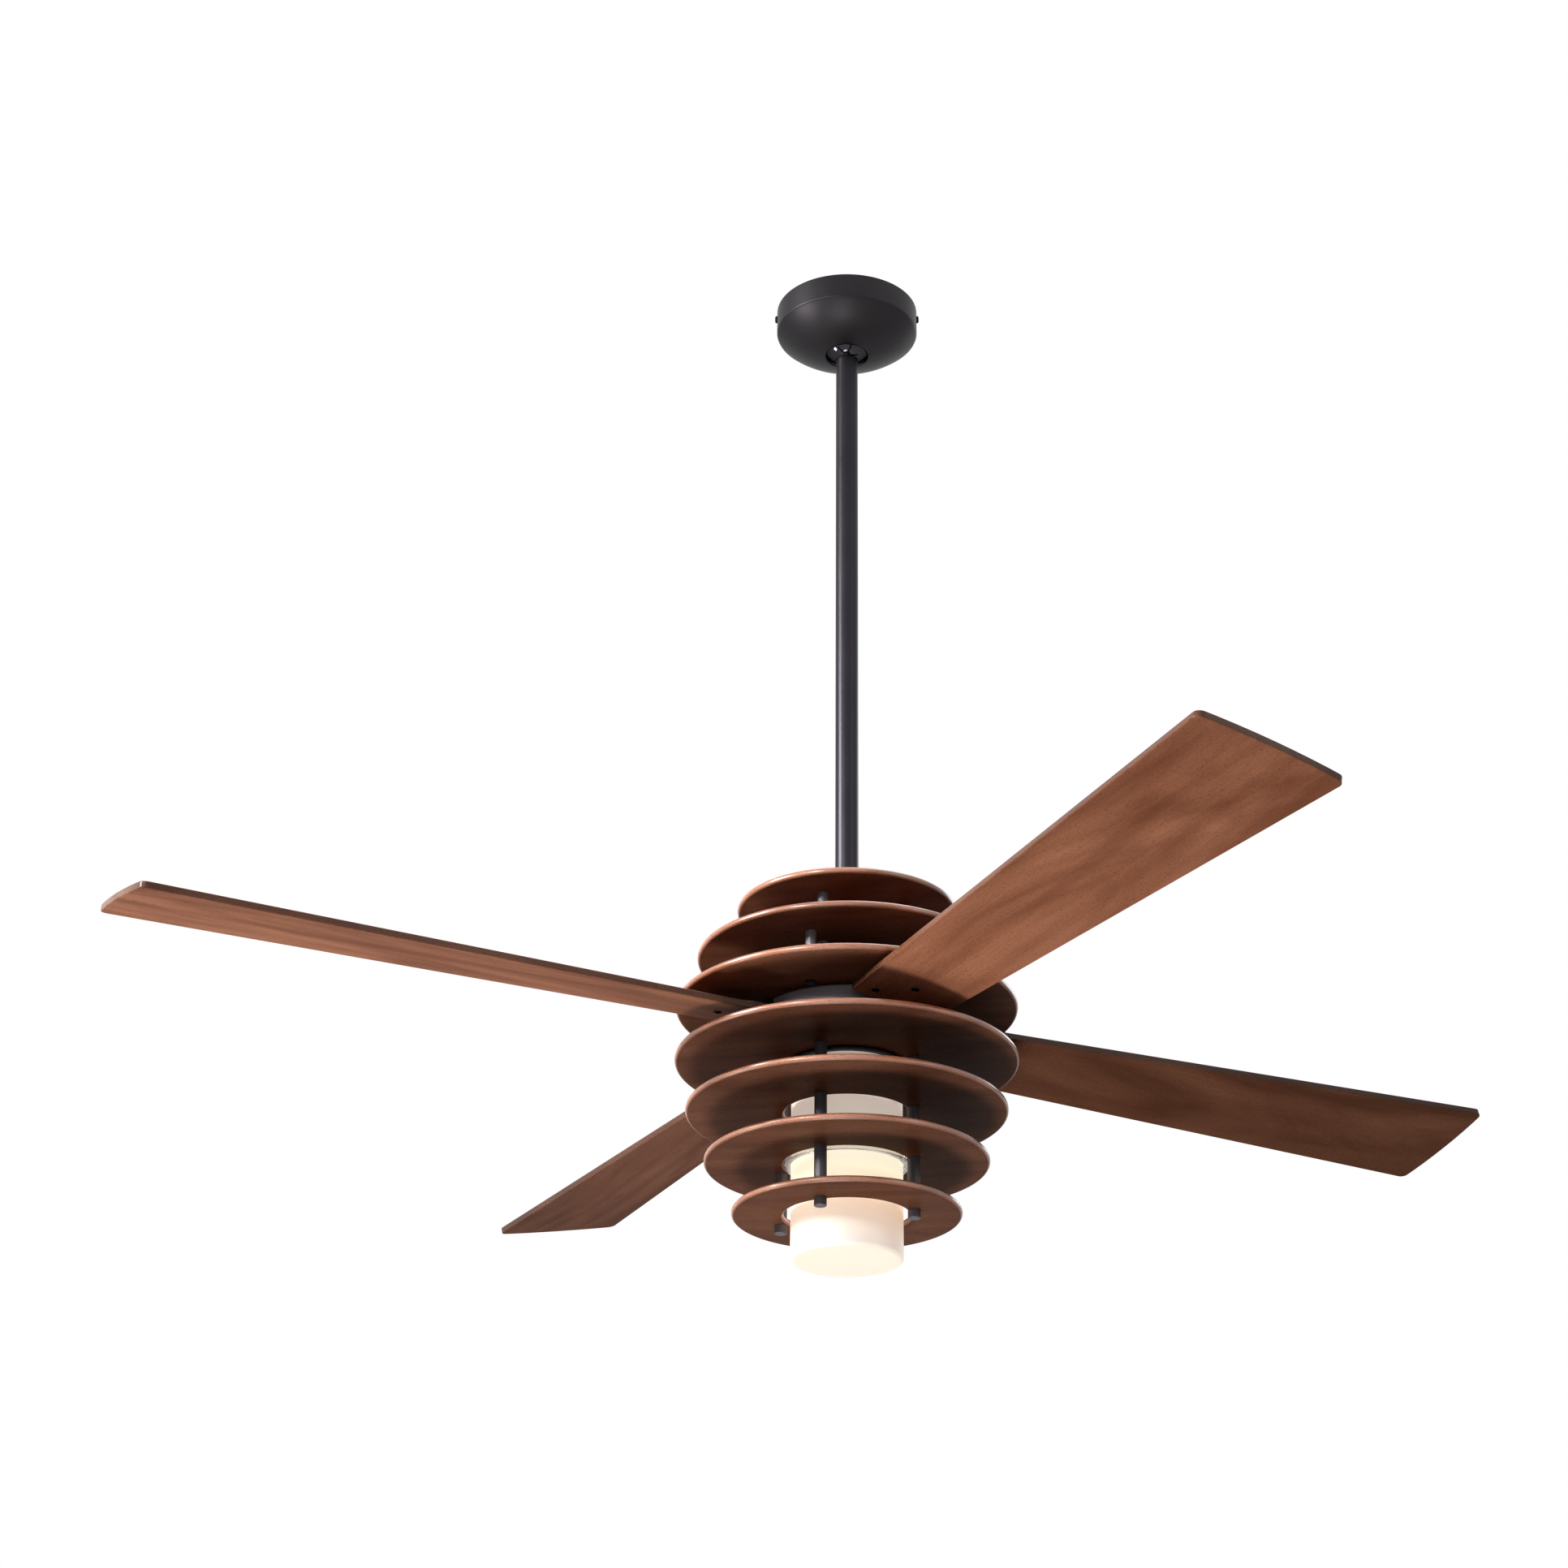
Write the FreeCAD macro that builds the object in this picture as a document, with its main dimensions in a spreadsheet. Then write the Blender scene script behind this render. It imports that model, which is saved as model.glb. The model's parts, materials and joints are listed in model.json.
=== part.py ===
"""Ceiling fan with stacked wood discs, four pitched blades and a drum light.

The frame has its origin on the ceiling, on the fan's own axis, with +Z up, so that
the fan hangs towards -Z.  Every length is in millimetres and every angle in degrees.
"""
import FreeCAD, Part
import math
import os
import Sketcher

Vec = FreeCAD.Vector
doc = FreeCAD.newDocument("CeilingFan")

# Driving dimensions, one row each: name, value, what it measures
DRIVING = [
    ("canopy_radius", 69.0, "outer radius of the canopy band"),
    ("canopy_band", 24.6, "height of the canopy's straight band"),
    ("canopy_depth", 52.0, "depth of the canopy bowl on its axis"),
    ("canopy_wall", 1.2, "sheet thickness of the canopy"),
    ("canopy_mouth", 21.0, "radius of the hole under the canopy"),
    ("canopy_screw_drop", 7.0, "canopy screws below the ceiling"),
    ("canopy_screw_radius", 2.0, "shank radius of the canopy screws"),
    ("canopy_head_radius", 3.6, "head radius of the canopy screws"),
    ("canopy_head_height", 2.2, "head height of the canopy screws"),
    ("strap_width", 38.0, "width of the hanger bracket strap"),
    ("strap_sheet", 2.5, "sheet thickness of the hanger bracket"),
    ("strap_length", 100.0, "length of the wide part of the strap"),
    ("ear_length", 16.0, "height of the ears that take the canopy screws"),
    ("ear_width", 16.0, "width of the ears"),
    ("ear_gap", 1.0, "gap between the ears and the canopy"),
    ("leg_reach", 32.0, "outer half width between the bracket legs"),
    ("box_slot_spacing", 79.375, "spacing of the two outlet box slots"),
    ("box_slot_length", 14.7, "end to end length of an outlet box slot"),
    ("box_slot_width", 5.2, "width of an outlet box slot"),
    ("ball_radius", 27.0, "radius of the hanger ball"),
    ("ball_drop", 31.0, "ball centre below the ceiling"),
    ("ball_flat", 8.0, "flat top of the ball above its centre"),
    ("liner_wall", 2.0, "thickness of the seat liner round the ball"),
    ("seat_wall", 4.0, "wall of the bracket round the ball seat"),
    ("seat_low", 9.5, "lower edge of the ball seat below the ball centre"),
    ("seat_high", 3.5, "upper edge of the ball seat below the ball centre"),
    ("swivel_clearance", 0.05, "running clearance of the ball joint"),
    ("rod_radius", 10.65, "outer radius of the downrod tube"),
    ("rod_wall", 2.8, "wall of the downrod tube"),
    ("rod_rise", 16.0, "downrod above the ball centre"),
    ("rod_length", 670.6, "downrod from end to end"),
    ("pin_radius", 3.0, "radius of the cross pins"),
    ("ball_pin_length", 44.0, "length of the pin in the hanger ball"),
    ("coupler_radius", 17.5, "outer radius of the coupler sleeve"),
    ("coupler_grip", 27.0, "length of downrod inside the coupler"),
    ("coupler_butt", 1.0, "gap between downrod and shaft in the coupler"),
    ("shaft_grip", 24.0, "length of shaft inside the coupler"),
    ("set_screw_radius", 2.5, "radius of the coupler set screws"),
    ("disc_thickness", 6.35, "thickness of each wood disc"),
    ("disc_nose", 3.0, "rounding of the disc rims"),
    ("top_disc_radius", 98.8, "radius of upper disc 1"),
    ("middle_disc_radius", 134.0, "radius of upper disc 2"),
    ("base_disc_radius", 152.4, "radius of upper disc 3"),
    ("lower_disc_a_radius", 152.4, "radius of lower disc 1"),
    ("lower_disc_b_radius", 142.0, "radius of lower disc 2"),
    ("lower_disc_c_radius", 125.0, "radius of lower disc 3"),
    ("lower_disc_d_radius", 100.3, "radius of lower disc 4"),
    ("light_hole_radius", 55.0, "hole in the lower discs round the light"),
    ("upper_pitch", 46.8, "spacing of the upper discs"),
    ("blade_gap", 49.7, "spacing of the two discs either side of the blades"),
    ("lower_pitch", 46.4, "spacing of the lower discs"),
    ("carrier_sheet", 3.0, "thickness of the two carrier plates"),
    ("upper_carrier_radius", 95.0, "radius of the upper carrier plate"),
    ("carrier_boss_radius", 18.5, "boss on the upper carrier plate"),
    ("carrier_boss_height", 22.0, "height of that boss"),
    ("lower_carrier_radius", 72.0, "radius of the lower carrier plate"),
    ("tie_radius", 2.5, "radius of the tie rods"),
    ("tie_clearance", 0.1, "clearance round a tie rod in a disc or spacer"),
    ("upper_spacer_radius", 4.75, "outer radius of the upper spacers"),
    ("upper_inner_circle", 57.0, "circle of the inner upper spacers"),
    ("upper_outer_circle", 84.0, "circle of the outer upper spacers"),
    ("upper_spacer_angle", 68.0, "first upper spacer from +X"),
    ("lower_spacer_radius", 5.5, "outer radius of the lower spacers"),
    ("lower_circle", 62.0, "circle of the lower spacers"),
    ("lower_spacer_angle", 68.7, "first lower spacer from +X"),
    ("cap_height", 8.0, "height of the lower cap nuts"),
    ("cap_thread", 6.0, "tie rod inside a cap nut"),
    ("top_nut_radius", 4.5, "radius of the upper cap nuts and tie heads"),
    ("tie_head_height", 2.6, "height of the tie heads under upper disc 3"),
    ("shaft_radius", 11.0, "radius of the fixed motor shaft"),
    ("shaft_bore", 5.0, "radius of the wire way in the shaft"),
    ("shaft_neck_radius", 8.0, "radius of the shaft's lower threaded end"),
    ("shaft_nut_flats", 24.0, "width across the flats of the shaft nut"),
    ("shaft_nut_height", 8.0, "height of the shaft nut"),
    ("shaft_nut_stub", 2.0, "shaft end below the nut"),
    ("snap_ring_width", 3.0, "radial width of the shaft's retaining ring"),
    ("snap_ring_height", 1.5, "height of the retaining ring"),
    ("bearing_ring", 3.0, "radial thickness of a bearing ring"),
    ("bearing_ball_radius", 1.95, "radius of a bearing ball"),
    ("bearing_clearance", 0.05, "running clearance of a ball in its rings"),
    ("bearing_height", 8.0, "height of a bearing"),
    ("hub_radius", 78.0, "outer radius of the rotor shells"),
    ("hub_wall", 2.5, "wall of the rotor shells"),
    ("hub_gap", 2.0, "running gap between the rotor and its neighbours"),
    ("rotor_core_wall", 9.5, "radial thickness of the rotor core"),
    ("rotor_core_height", 22.0, "height of the rotor core"),
    ("air_gap", 0.8, "radial gap between stator and rotor core"),
    ("stator_height", 10.0, "height of the stator stack"),
    ("stator_bore_wall", 18.0, "solid stator between shaft and slots"),
    ("coil_height", 3.5, "height of the windings above the stator"),
    ("coil_inset", 0.4, "clearance of the windings in the slots"),
    ("slot_width", 7.0, "width of a stator slot"),
    ("slot_lip", 4.0, "stator iron outside the slots"),
    ("shell_screw_radius", 2.0, "radius of the rotor shell screws"),
    ("blade_tip_radius", 660.4, "radius of the blade tips"),
    ("blade_root_radius", 83.0, "radius of the blade root ends"),
    ("blade_root_width", 79.4, "width of a blade at its root"),
    ("blade_tip_width", 130.8, "width of a blade at its tip"),
    ("blade_thickness", 6.0, "thickness of a blade"),
    ("blade_corner", 7.0, "corner radius at the blade tips"),
    ("blade_edge", 2.0, "rounding of the blade edges"),
    ("blade_pitch_angle", 11.7, "blade pitch"),
    ("blade_angle", 27.8, "first blade from +X"),
    ("blade_rise", 28.4, "blade mid plane above lower disc 1"),
    ("iron_sheet", 3.0, "thickness of a blade iron"),
    ("iron_width", 62.0, "width of a blade iron"),
    ("iron_shoulder", 108.0, "radius where a blade iron starts to taper"),
    ("iron_reach", 138.0, "radius of a blade iron's outer end"),
    ("iron_tip_width", 24.0, "width of a blade iron's outer end"),
    ("iron_foot", 4.0, "thickness of a blade iron's foot on the hub"),
    ("iron_foot_width", 18.0, "width of that foot"),
    ("foot_inset", 1.5, "foot inside the hub's top and bottom faces"),
    ("foot_screw_inset", 4.1, "foot screws from the ends of the foot"),
    ("screw_radius", 2.0, "shank radius of the blade screws"),
    ("screw_head_radius", 3.6, "head radius of the blade screws"),
    ("screw_head_height", 1.6, "head height of the blade screws"),
    ("inner_screw_radius", 99.0, "radius of the inner pair of blade screws"),
    ("inner_screw_spread", 49.0, "spacing of that pair"),
    ("outer_screw_radius", 127.0, "radius of the single outer blade screw"),
    ("light_plate_radius", 53.0, "radius of the dark light plate"),
    ("light_plate_sheet", 3.5, "thickness of the light plate"),
    ("cup_radius", 49.0, "outer radius of the lamp cup and of the glass"),
    ("cup_wall", 1.2, "sheet thickness of the lamp cup"),
    ("cup_hole", 18.0, "hole in the roof of the lamp cup"),
    ("collar_radius", 54.4, "outer radius of the glass collar"),
    ("collar_height", 9.0, "height of the glass collar"),
    ("collar_fit", 0.05, "clearance of cup and glass in the collar"),
    ("glass_screw_radius", 1.5, "radius of the glass set screws"),
    ("glass_wall", 3.0, "wall of the glass drum"),
    ("glass_drop", 182.0, "glass bottom below lower disc 1"),
    ("glass_round", 5.0, "rounding at the bottom of the glass"),
    ("bridge_half_span", 30.0, "half span of the lamp bridge inside its legs"),
    ("bridge_drop", 32.0, "height of the lamp bridge"),
    ("bridge_sheet", 1.5, "sheet thickness of the lamp bridge"),
    ("bridge_width", 20.0, "width of the lamp bridge"),
    ("bridge_toe", 8.0, "length of the bridge's feet"),
    ("socket_radius", 19.0, "outer radius of the lamp socket"),
    ("socket_height", 36.0, "height of the lamp socket"),
    ("socket_floor", 7.0, "closed end of the lamp socket"),
    ("cap_radius", 13.2, "radius of the lamp's screw cap"),
    ("cap_clearance", 0.1, "clearance of the screw cap in the socket"),
    ("bulb_radius", 29.0, "radius of the lamp's globe"),
    ("bulb_drop", 34.0, "globe centre below the socket"),
    ("capacitor_length", 34.0, "length of the run capacitor"),
    ("capacitor_width", 15.0, "width of the run capacitor"),
    ("capacitor_height", 24.0, "height of the run capacitor"),
    ("capacitor_offset", 20.0, "near face of the capacitor from the axis"),
]

# Counts that shape patterns
BLADES = 4
SPACERS = 4
BALLS = 9
SLOTS = 12
SHELL_SCREWS = 4

sizes = doc.addObject("Spreadsheet::Sheet", "Sizes")
for row, (name, value, note) in enumerate(DRIVING, start=1):
    sizes.set("A%d" % row, note)
    sizes.set("B%d" % row, str(value))
    sizes.setAlias("B%d" % row, name)
doc.recompute()
NAMES = {name for name, value, note in DRIVING}


def size(name):
    """The present value of one driving dimension."""
    return float(getattr(sizes, name))


def formula(text):
    """An expression in which every driving dimension names its cell."""
    words = text.replace("(", " ( ").replace(")", " ) ").split()
    named = " ".join("Sizes." + word if word in NAMES else word for word in words)
    return named.replace("min (", "min(").replace("sqrt (", "sqrt(")


def bind(item, field, text):
    item.setExpression(field, formula(text))


# Heights that follow from the driving dimensions, from the ceiling down
disc_half = size("disc_thickness") / 2
ball_z = -size("ball_drop")
rod_top = ball_z + size("rod_rise")
rod_bottom = rod_top - size("rod_length")
coupler_top = rod_bottom + size("coupler_grip")
shaft_top = rod_bottom - size("coupler_butt")
coupler_bottom = shaft_top - size("shaft_grip")
upper_plate_top = coupler_bottom - size("carrier_boss_height")
upper_plate_bottom = upper_plate_top - size("carrier_sheet")
base_disc_z = upper_plate_bottom - disc_half
middle_disc_z = base_disc_z + size("upper_pitch")
top_disc_z = middle_disc_z + size("upper_pitch")
stack_z = base_disc_z - size("blade_gap")
lower_plate_bottom = stack_z + disc_half
lower_plate_top = lower_plate_bottom + size("carrier_sheet")
hub_bottom = lower_plate_top + size("hub_gap")
hub_top = base_disc_z - disc_half - size("hub_gap")
hub_height = hub_top - hub_bottom
hub_middle = (hub_top + hub_bottom) / 2
light_plate_top = stack_z - disc_half
light_plate_bottom = light_plate_top - size("light_plate_sheet")
shaft_bottom = light_plate_bottom - size("shaft_nut_height") - size("shaft_nut_stub")
cup_bottom = stack_z - 2 * size("lower_pitch")
cup_roof = light_plate_bottom - size("cup_wall")
last_disc_z = stack_z - 3 * size("lower_pitch")
HUB_HEIGHT = "( blade_gap - disc_thickness - carrier_sheet - 2 * hub_gap )"

UP = Vec(0, 0, 1)
ALONG_X = FreeCAD.Rotation(Vec(0, 1, 0), 90)
ALONG_Y = FreeCAD.Rotation(Vec(1, 0, 0), -90)
UPRIGHT = FreeCAD.Rotation()


def at(x, y, z, turn=UPRIGHT):
    return FreeCAD.Placement(Vec(x, y, z), turn)


def round_axis(angle):
    """A turn about the fan's axis."""
    return FreeCAD.Placement(Vec(0, 0, 0), FreeCAD.Rotation(UP, angle))


def name_it(item, label):
    if label:
        item.Label = label
    return item


def cylinder(radius, height, place, label=None):
    item = doc.addObject("Part::Cylinder", "Cylinder")
    bind(item, "Radius", radius)
    bind(item, "Height", height)
    item.Placement = place
    return name_it(item, label)


def box(length, width, height, corner, label=None):
    item = doc.addObject("Part::Box", "Box")
    bind(item, "Length", length)
    bind(item, "Width", width)
    bind(item, "Height", height)
    item.Placement = at(*corner)
    return name_it(item, label)


def sphere(radius, z):
    item = doc.addObject("Part::Sphere", "Sphere")
    bind(item, "Radius", radius)
    item.Placement = at(0, 0, z)
    return item


def cut(base, tool, label=None):
    item = doc.addObject("Part::Cut", "Cut")
    item.Base = base
    item.Tool = tool
    return name_it(item, label)


def common(base, tool, label=None):
    item = doc.addObject("Part::Common", "Common")
    item.Base = base
    item.Tool = tool
    return name_it(item, label)


def joined(parts, label=None):
    item = doc.addObject("Part::MultiFuse", "Fuse")
    item.Shapes = parts
    item.Refine = True
    return name_it(item, label)


def group(parts, label=None):
    """Separate solids that share one node."""
    item = doc.addObject("Part::Compound", "Group")
    item.Links = parts
    return name_it(item, label)


def on_circle(make, circle, count, first_angle):
    """Copies of a piece, made by make(x, y, angle), evenly spaced on a circle."""
    copies = []
    for index in range(count):
        angle = first_angle + 360.0 * index / count
        x = circle * math.cos(math.radians(angle))
        y = circle * math.sin(math.radians(angle))
        copies.append(make(x, y, angle))
    return copies


def pegs(radius, height, z, circle, count, first_angle):
    return on_circle(lambda x, y, a: cylinder(radius, height, at(x, y, z)), circle, count, first_angle)


def tubes(radius, bore, height, z, circle, first_angle):
    def one(x, y, angle):
        return cut(cylinder(radius, height, at(x, y, z)), cylinder(bore, height, at(x, y, z)))
    return on_circle(one, circle, SPACERS, first_angle)


def tube(radius, bore, height, z, label=None):
    return cut(cylinder(radius, height, at(0, 0, z)), cylinder(bore, height, at(0, 0, z)), label)


def plane_of(body, role):
    for feature in body.Origin.OriginFeatures:
        if feature.Role == role:
            return feature


def sketch_in(body, role="XY_Plane", place=None):
    sketch = body.newObject("Sketcher::SketchObject", "Sketch")
    sketch.AttachmentSupport = [(plane_of(body, role), "")]
    sketch.MapMode = "FlatFace"
    if place:
        sketch.AttachmentOffset = place
    return sketch


def pin_down(sketch, kind, ends, text):
    """A dimension in a sketch, tied to the sheet."""
    number = sketch.addConstraint(Sketcher.Constraint(kind, *ends))
    bind(sketch, "Constraints[%d]" % number, text)


def turned(label, outline, z):
    """A piece turned on the fan's axis: outline is (radius, height) pairs above z."""
    body = doc.addObject("PartDesign::Body", label)
    sketch = sketch_in(body, "XZ_Plane")
    count = len(outline)
    start = size("ball_radius")
    guess = [Vec(start + index, 1 + index * index, 0) for index in range(count)]
    for index in range(count):
        sketch.addGeometry(Part.LineSegment(guess[index], guess[(index + 1) % count]))
    for index in range(count):
        sketch.addConstraint(Sketcher.Constraint("Coincident", index, 2, (index + 1) % count, 1))
    for index, (radius, height) in enumerate(outline):
        pin_down(sketch, "DistanceX", (-1, 1, index, 1, guess[index].x), radius)
        if height == "0":
            sketch.addConstraint(Sketcher.Constraint("PointOnObject", index, 1, -1))
        else:
            pin_down(sketch, "DistanceY", (-1, 1, index, 1, guess[index].y), height)
    turn = body.newObject("PartDesign::Revolution", "Turn")
    turn.Profile = sketch
    turn.ReferenceAxis = (sketch, ["V_Axis"])
    turn.Angle = 360.0
    body.Placement = at(0, 0, z)
    body.Label = label
    return body


def rounded(body, radius_text, wanted):
    """Round the edges of a body's last feature for which wanted(edge) holds."""
    doc.recompute()
    last = body.Tip
    names = ["Edge%d" % (i + 1) for i, edge in enumerate(last.Shape.Edges) if wanted(edge)]
    fillet = body.newObject("PartDesign::Fillet", "Rounding")
    fillet.Base = (last, names)
    bind(fillet, "Radius", radius_text)
    return fillet


def ring_edge(edge, radius):
    curve = edge.Curve
    return isinstance(curve, Part.Circle) and abs(curve.Radius - radius) < 0.001


# Hanger bracket: strap with outlet box slots, ears for the canopy, legs and the ball seat
liner_inner = "( ball_radius + swivel_clearance )"
liner_outer = "( ball_radius + swivel_clearance + liner_wall )"
seat_inner = "( ball_radius + 2 * swivel_clearance + liner_wall )"
seat_outer = "( ball_radius + 2 * swivel_clearance + liner_wall + seat_wall )"
sheet = size("strap_sheet")
ear_face = size("canopy_radius") - size("canopy_wall") - size("ear_gap")
half_strap = size("strap_width") / 2
half_ear = size("ear_width") / 2
seat_bottom = ball_z - size("seat_low")
strap = box("strap_length", "strap_width", "strap_sheet",
            (-size("strap_length") / 2, -half_strap, -sheet))
tongue = box("2 * ( canopy_radius - canopy_wall - ear_gap )", "ear_width", "strap_sheet",
             (-ear_face, -half_ear, -sheet))
ears = [box("strap_sheet", "ear_width", "ear_length", (x, -half_ear, -size("ear_length")))
        for x in (-ear_face, ear_face - sheet)]
legs = [box("strap_sheet", "strap_width", "ball_drop + seat_low", (x, -half_strap, seat_bottom))
        for x in (-size("leg_reach"), size("leg_reach") - sheet)]
seat_floor = box("2 * leg_reach", "strap_width", "seat_low - seat_high",
                 (-size("leg_reach"), -half_strap, seat_bottom))
seat_ring = cylinder(seat_outer, "seat_low - seat_high", at(0, 0, seat_bottom))
slot_reach = (size("box_slot_length") - size("box_slot_width")) / 2
slot_tools = []
for side in (-1, 1):
    middle = side * size("box_slot_spacing") / 2
    slot_tools.append(box("box_slot_length - box_slot_width", "box_slot_width", "2 * strap_sheet",
                          (middle - slot_reach, -size("box_slot_width") / 2, -1.5 * sheet)))
    for end in (-slot_reach, slot_reach):
        slot_tools.append(cylinder("box_slot_width / 2", "2 * strap_sheet",
                                   at(middle + end, 0, -1.5 * sheet)))
ear_holes = cylinder("canopy_screw_radius", "2 * canopy_radius",
                     at(-size("canopy_radius"), 0, -size("canopy_screw_drop"), ALONG_X))
bracket_blank = joined([strap, tongue, seat_floor, seat_ring] + ears + legs)
bracket_tools = group(slot_tools + [sphere(seat_inner, ball_z), ear_holes])
hanger_bracket = cut(bracket_blank, bracket_tools, "hanger_bracket")

# Canopy: straight band and a shallow spherical bowl with a mouth for the ball
bowl = size("canopy_depth") - size("canopy_band")
bowl_rise = "( canopy_depth - canopy_band )"
bowl_ball = "( ( canopy_radius ^ 2 + %s ^ 2 ) / ( 2 * %s ) )" % (bowl_rise, bowl_rise)
bowl_radius = (size("canopy_radius") ** 2 + bowl ** 2) / (2 * bowl)
bowl_centre = bowl_radius - size("canopy_depth")
outer_drum = cylinder("canopy_radius", "canopy_depth", at(0, 0, -size("canopy_depth")))
outer_form = common(outer_drum, sphere(bowl_ball, bowl_centre))
upper_drum = cylinder("canopy_radius", "canopy_band", at(0, 0, -size("canopy_band")))
inner_drum = cylinder("canopy_radius - canopy_wall", "canopy_depth", at(0, 0, -size("canopy_depth")))
inner_form = common(inner_drum, sphere(bowl_ball + " - canopy_wall", bowl_centre))
mouth = cylinder("canopy_mouth", "canopy_depth", at(0, 0, -size("canopy_depth")))
canopy_holes = cylinder("canopy_screw_radius", "4 * canopy_radius",
                        at(-2 * size("canopy_radius"), 0, -size("canopy_screw_drop"), ALONG_X))
inner_band = cylinder("canopy_radius - canopy_wall", "canopy_band",
                      at(0, 0, -size("canopy_band")))
canopy_tools = group([joined([inner_form, inner_band]), mouth, canopy_holes])
canopy = cut(joined([outer_form, upper_drum]), canopy_tools, "canopy")

# Canopy screws, one in each ear
screw_z = -size("canopy_screw_drop")
shank = "canopy_wall + ear_gap + strap_sheet"
shank_start = ear_face - sheet
canopy_screw_parts = []
for side in (-1, 1):
    turn = FreeCAD.Rotation(Vec(0, 1, 0), 90 * side)
    body = cylinder("canopy_screw_radius", shank, at(side * shank_start, 0, screw_z, turn))
    head = cylinder("canopy_head_radius", "canopy_head_height",
                    at(side * size("canopy_radius"), 0, screw_z, turn))
    canopy_screw_parts.append(joined([body, head]))
canopy_screws = group(canopy_screw_parts, "canopy_screws")

# Ball seat liner, hanger ball and its cross pin
seat_slab = cylinder(seat_outer, "seat_low - seat_high", at(0, 0, seat_bottom))
ball_liner = cut(common(seat_slab, sphere(liner_outer, ball_z)), sphere(liner_inner, ball_z), "ball_liner")
ball_blank = common(sphere("ball_radius", ball_z),
                    cylinder("ball_radius", "ball_radius + ball_flat",
                             at(0, 0, ball_z - size("ball_radius"))))
ball_bore = cylinder("rod_radius", "3 * ball_radius", at(0, 0, ball_z - 1.5 * size("ball_radius")))
pin_half = size("ball_pin_length") / 2
pin_groove = cylinder("pin_radius", "ball_pin_length", at(-pin_half, 0, ball_z, ALONG_X))
pin_slot = box("ball_pin_length", "2 * pin_radius", "2 * ball_flat",
               (-pin_half, -size("pin_radius"), ball_z))
hanger_ball = cut(ball_blank, group([ball_bore, pin_groove, pin_slot]), "hanger_ball")
hanger_pin = cylinder("pin_radius", "ball_pin_length", at(-pin_half, 0, ball_z, ALONG_X), "hanger_pin")

# Downrod with a hole for each cross pin
coupler_pin_z = rod_bottom + size("coupler_grip") / 2
rod_blank = tube("rod_radius", "rod_radius - rod_wall", "rod_length", rod_bottom)
pin_holes = [cylinder("pin_radius", "4 * rod_radius", at(-2 * size("rod_radius"), 0, z, ALONG_X))
             for z in (ball_z, coupler_pin_z)]
downrod = cut(rod_blank, group(pin_holes), "downrod")

# Coupler sleeve that joins downrod and shaft, with its pin and set screws
set_screw_z = rod_bottom + size("coupler_grip") / 4
coupler_blank = cylinder("coupler_radius", "coupler_grip + coupler_butt + shaft_grip",
                         at(0, 0, coupler_bottom))
coupler_tools = [
    cylinder("rod_radius", "coupler_grip + coupler_butt", at(0, 0, shaft_top)),
    cylinder("shaft_radius", "shaft_grip", at(0, 0, coupler_bottom)),
    cylinder("pin_radius", "4 * coupler_radius", at(-2 * size("coupler_radius"), 0, coupler_pin_z, ALONG_X)),
    cylinder("set_screw_radius", "4 * coupler_radius",
             at(0, -2 * size("coupler_radius"), set_screw_z, ALONG_Y)),
]
coupler = cut(coupler_blank, group(coupler_tools), "coupler")
coupler_pin = cylinder("pin_radius", "2 * coupler_radius",
                       at(-size("coupler_radius"), 0, coupler_pin_z, ALONG_X), "coupler_pin")
screw_stub = "coupler_radius - rod_radius"
set_screws = [cylinder("set_screw_radius", screw_stub, at(0, y, set_screw_z, ALONG_Y))
              for y in (-size("coupler_radius"), size("rod_radius"))]
coupler_set_screws = cut(group(set_screws), cylinder("rod_radius", "coupler_grip", at(0, 0, rod_bottom)),
                         "coupler_set_screws")


# Wood discs: turned boards with a bull nose rim and holes for the tie rods
def wood_disc(label, radius, z, bore, circles, first_angle):
    body = doc.addObject("PartDesign::Body", label)
    sketch = sketch_in(body)
    holes = [(0.0, 0.0, radius, None), (0.0, 0.0, bore, None)]
    for circle in circles:
        for x, y in ((1, 0), (0, 1), (-1, 0), (0, -1)):
            holes.append((x * size(circle), y * size(circle), "tie_radius + tie_clearance", circle))
    for index, (x, y, hole, circle) in enumerate(holes):
        start = size("tie_radius") if circle else size(radius) / (1 + index)
        sketch.addGeometry(Part.Circle(Vec(x, y, 0), UP, start))
        pin_down(sketch, "Radius", (index, start), hole)
        if circle:
            sketch.addConstraint(Sketcher.Constraint("PointOnObject", index, 3, -2 if x == 0 else -1))
            pin_down(sketch, "Distance", (-1, 1, index, 3, size(circle)), circle)
        else:
            sketch.addConstraint(Sketcher.Constraint("Coincident", index, 3, -1, 1))
    pad = body.newObject("PartDesign::Pad", "Board")
    pad.Profile = sketch
    bind(pad, "Length", "disc_thickness")
    rim = size(radius)
    rounded(body, "min( disc_nose ; 0.48 * disc_thickness )", lambda edge: ring_edge(edge, rim))
    body.Placement = FreeCAD.Placement(Vec(0, 0, z - disc_half), FreeCAD.Rotation(UP, first_angle))
    body.Label = label
    return body


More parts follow.
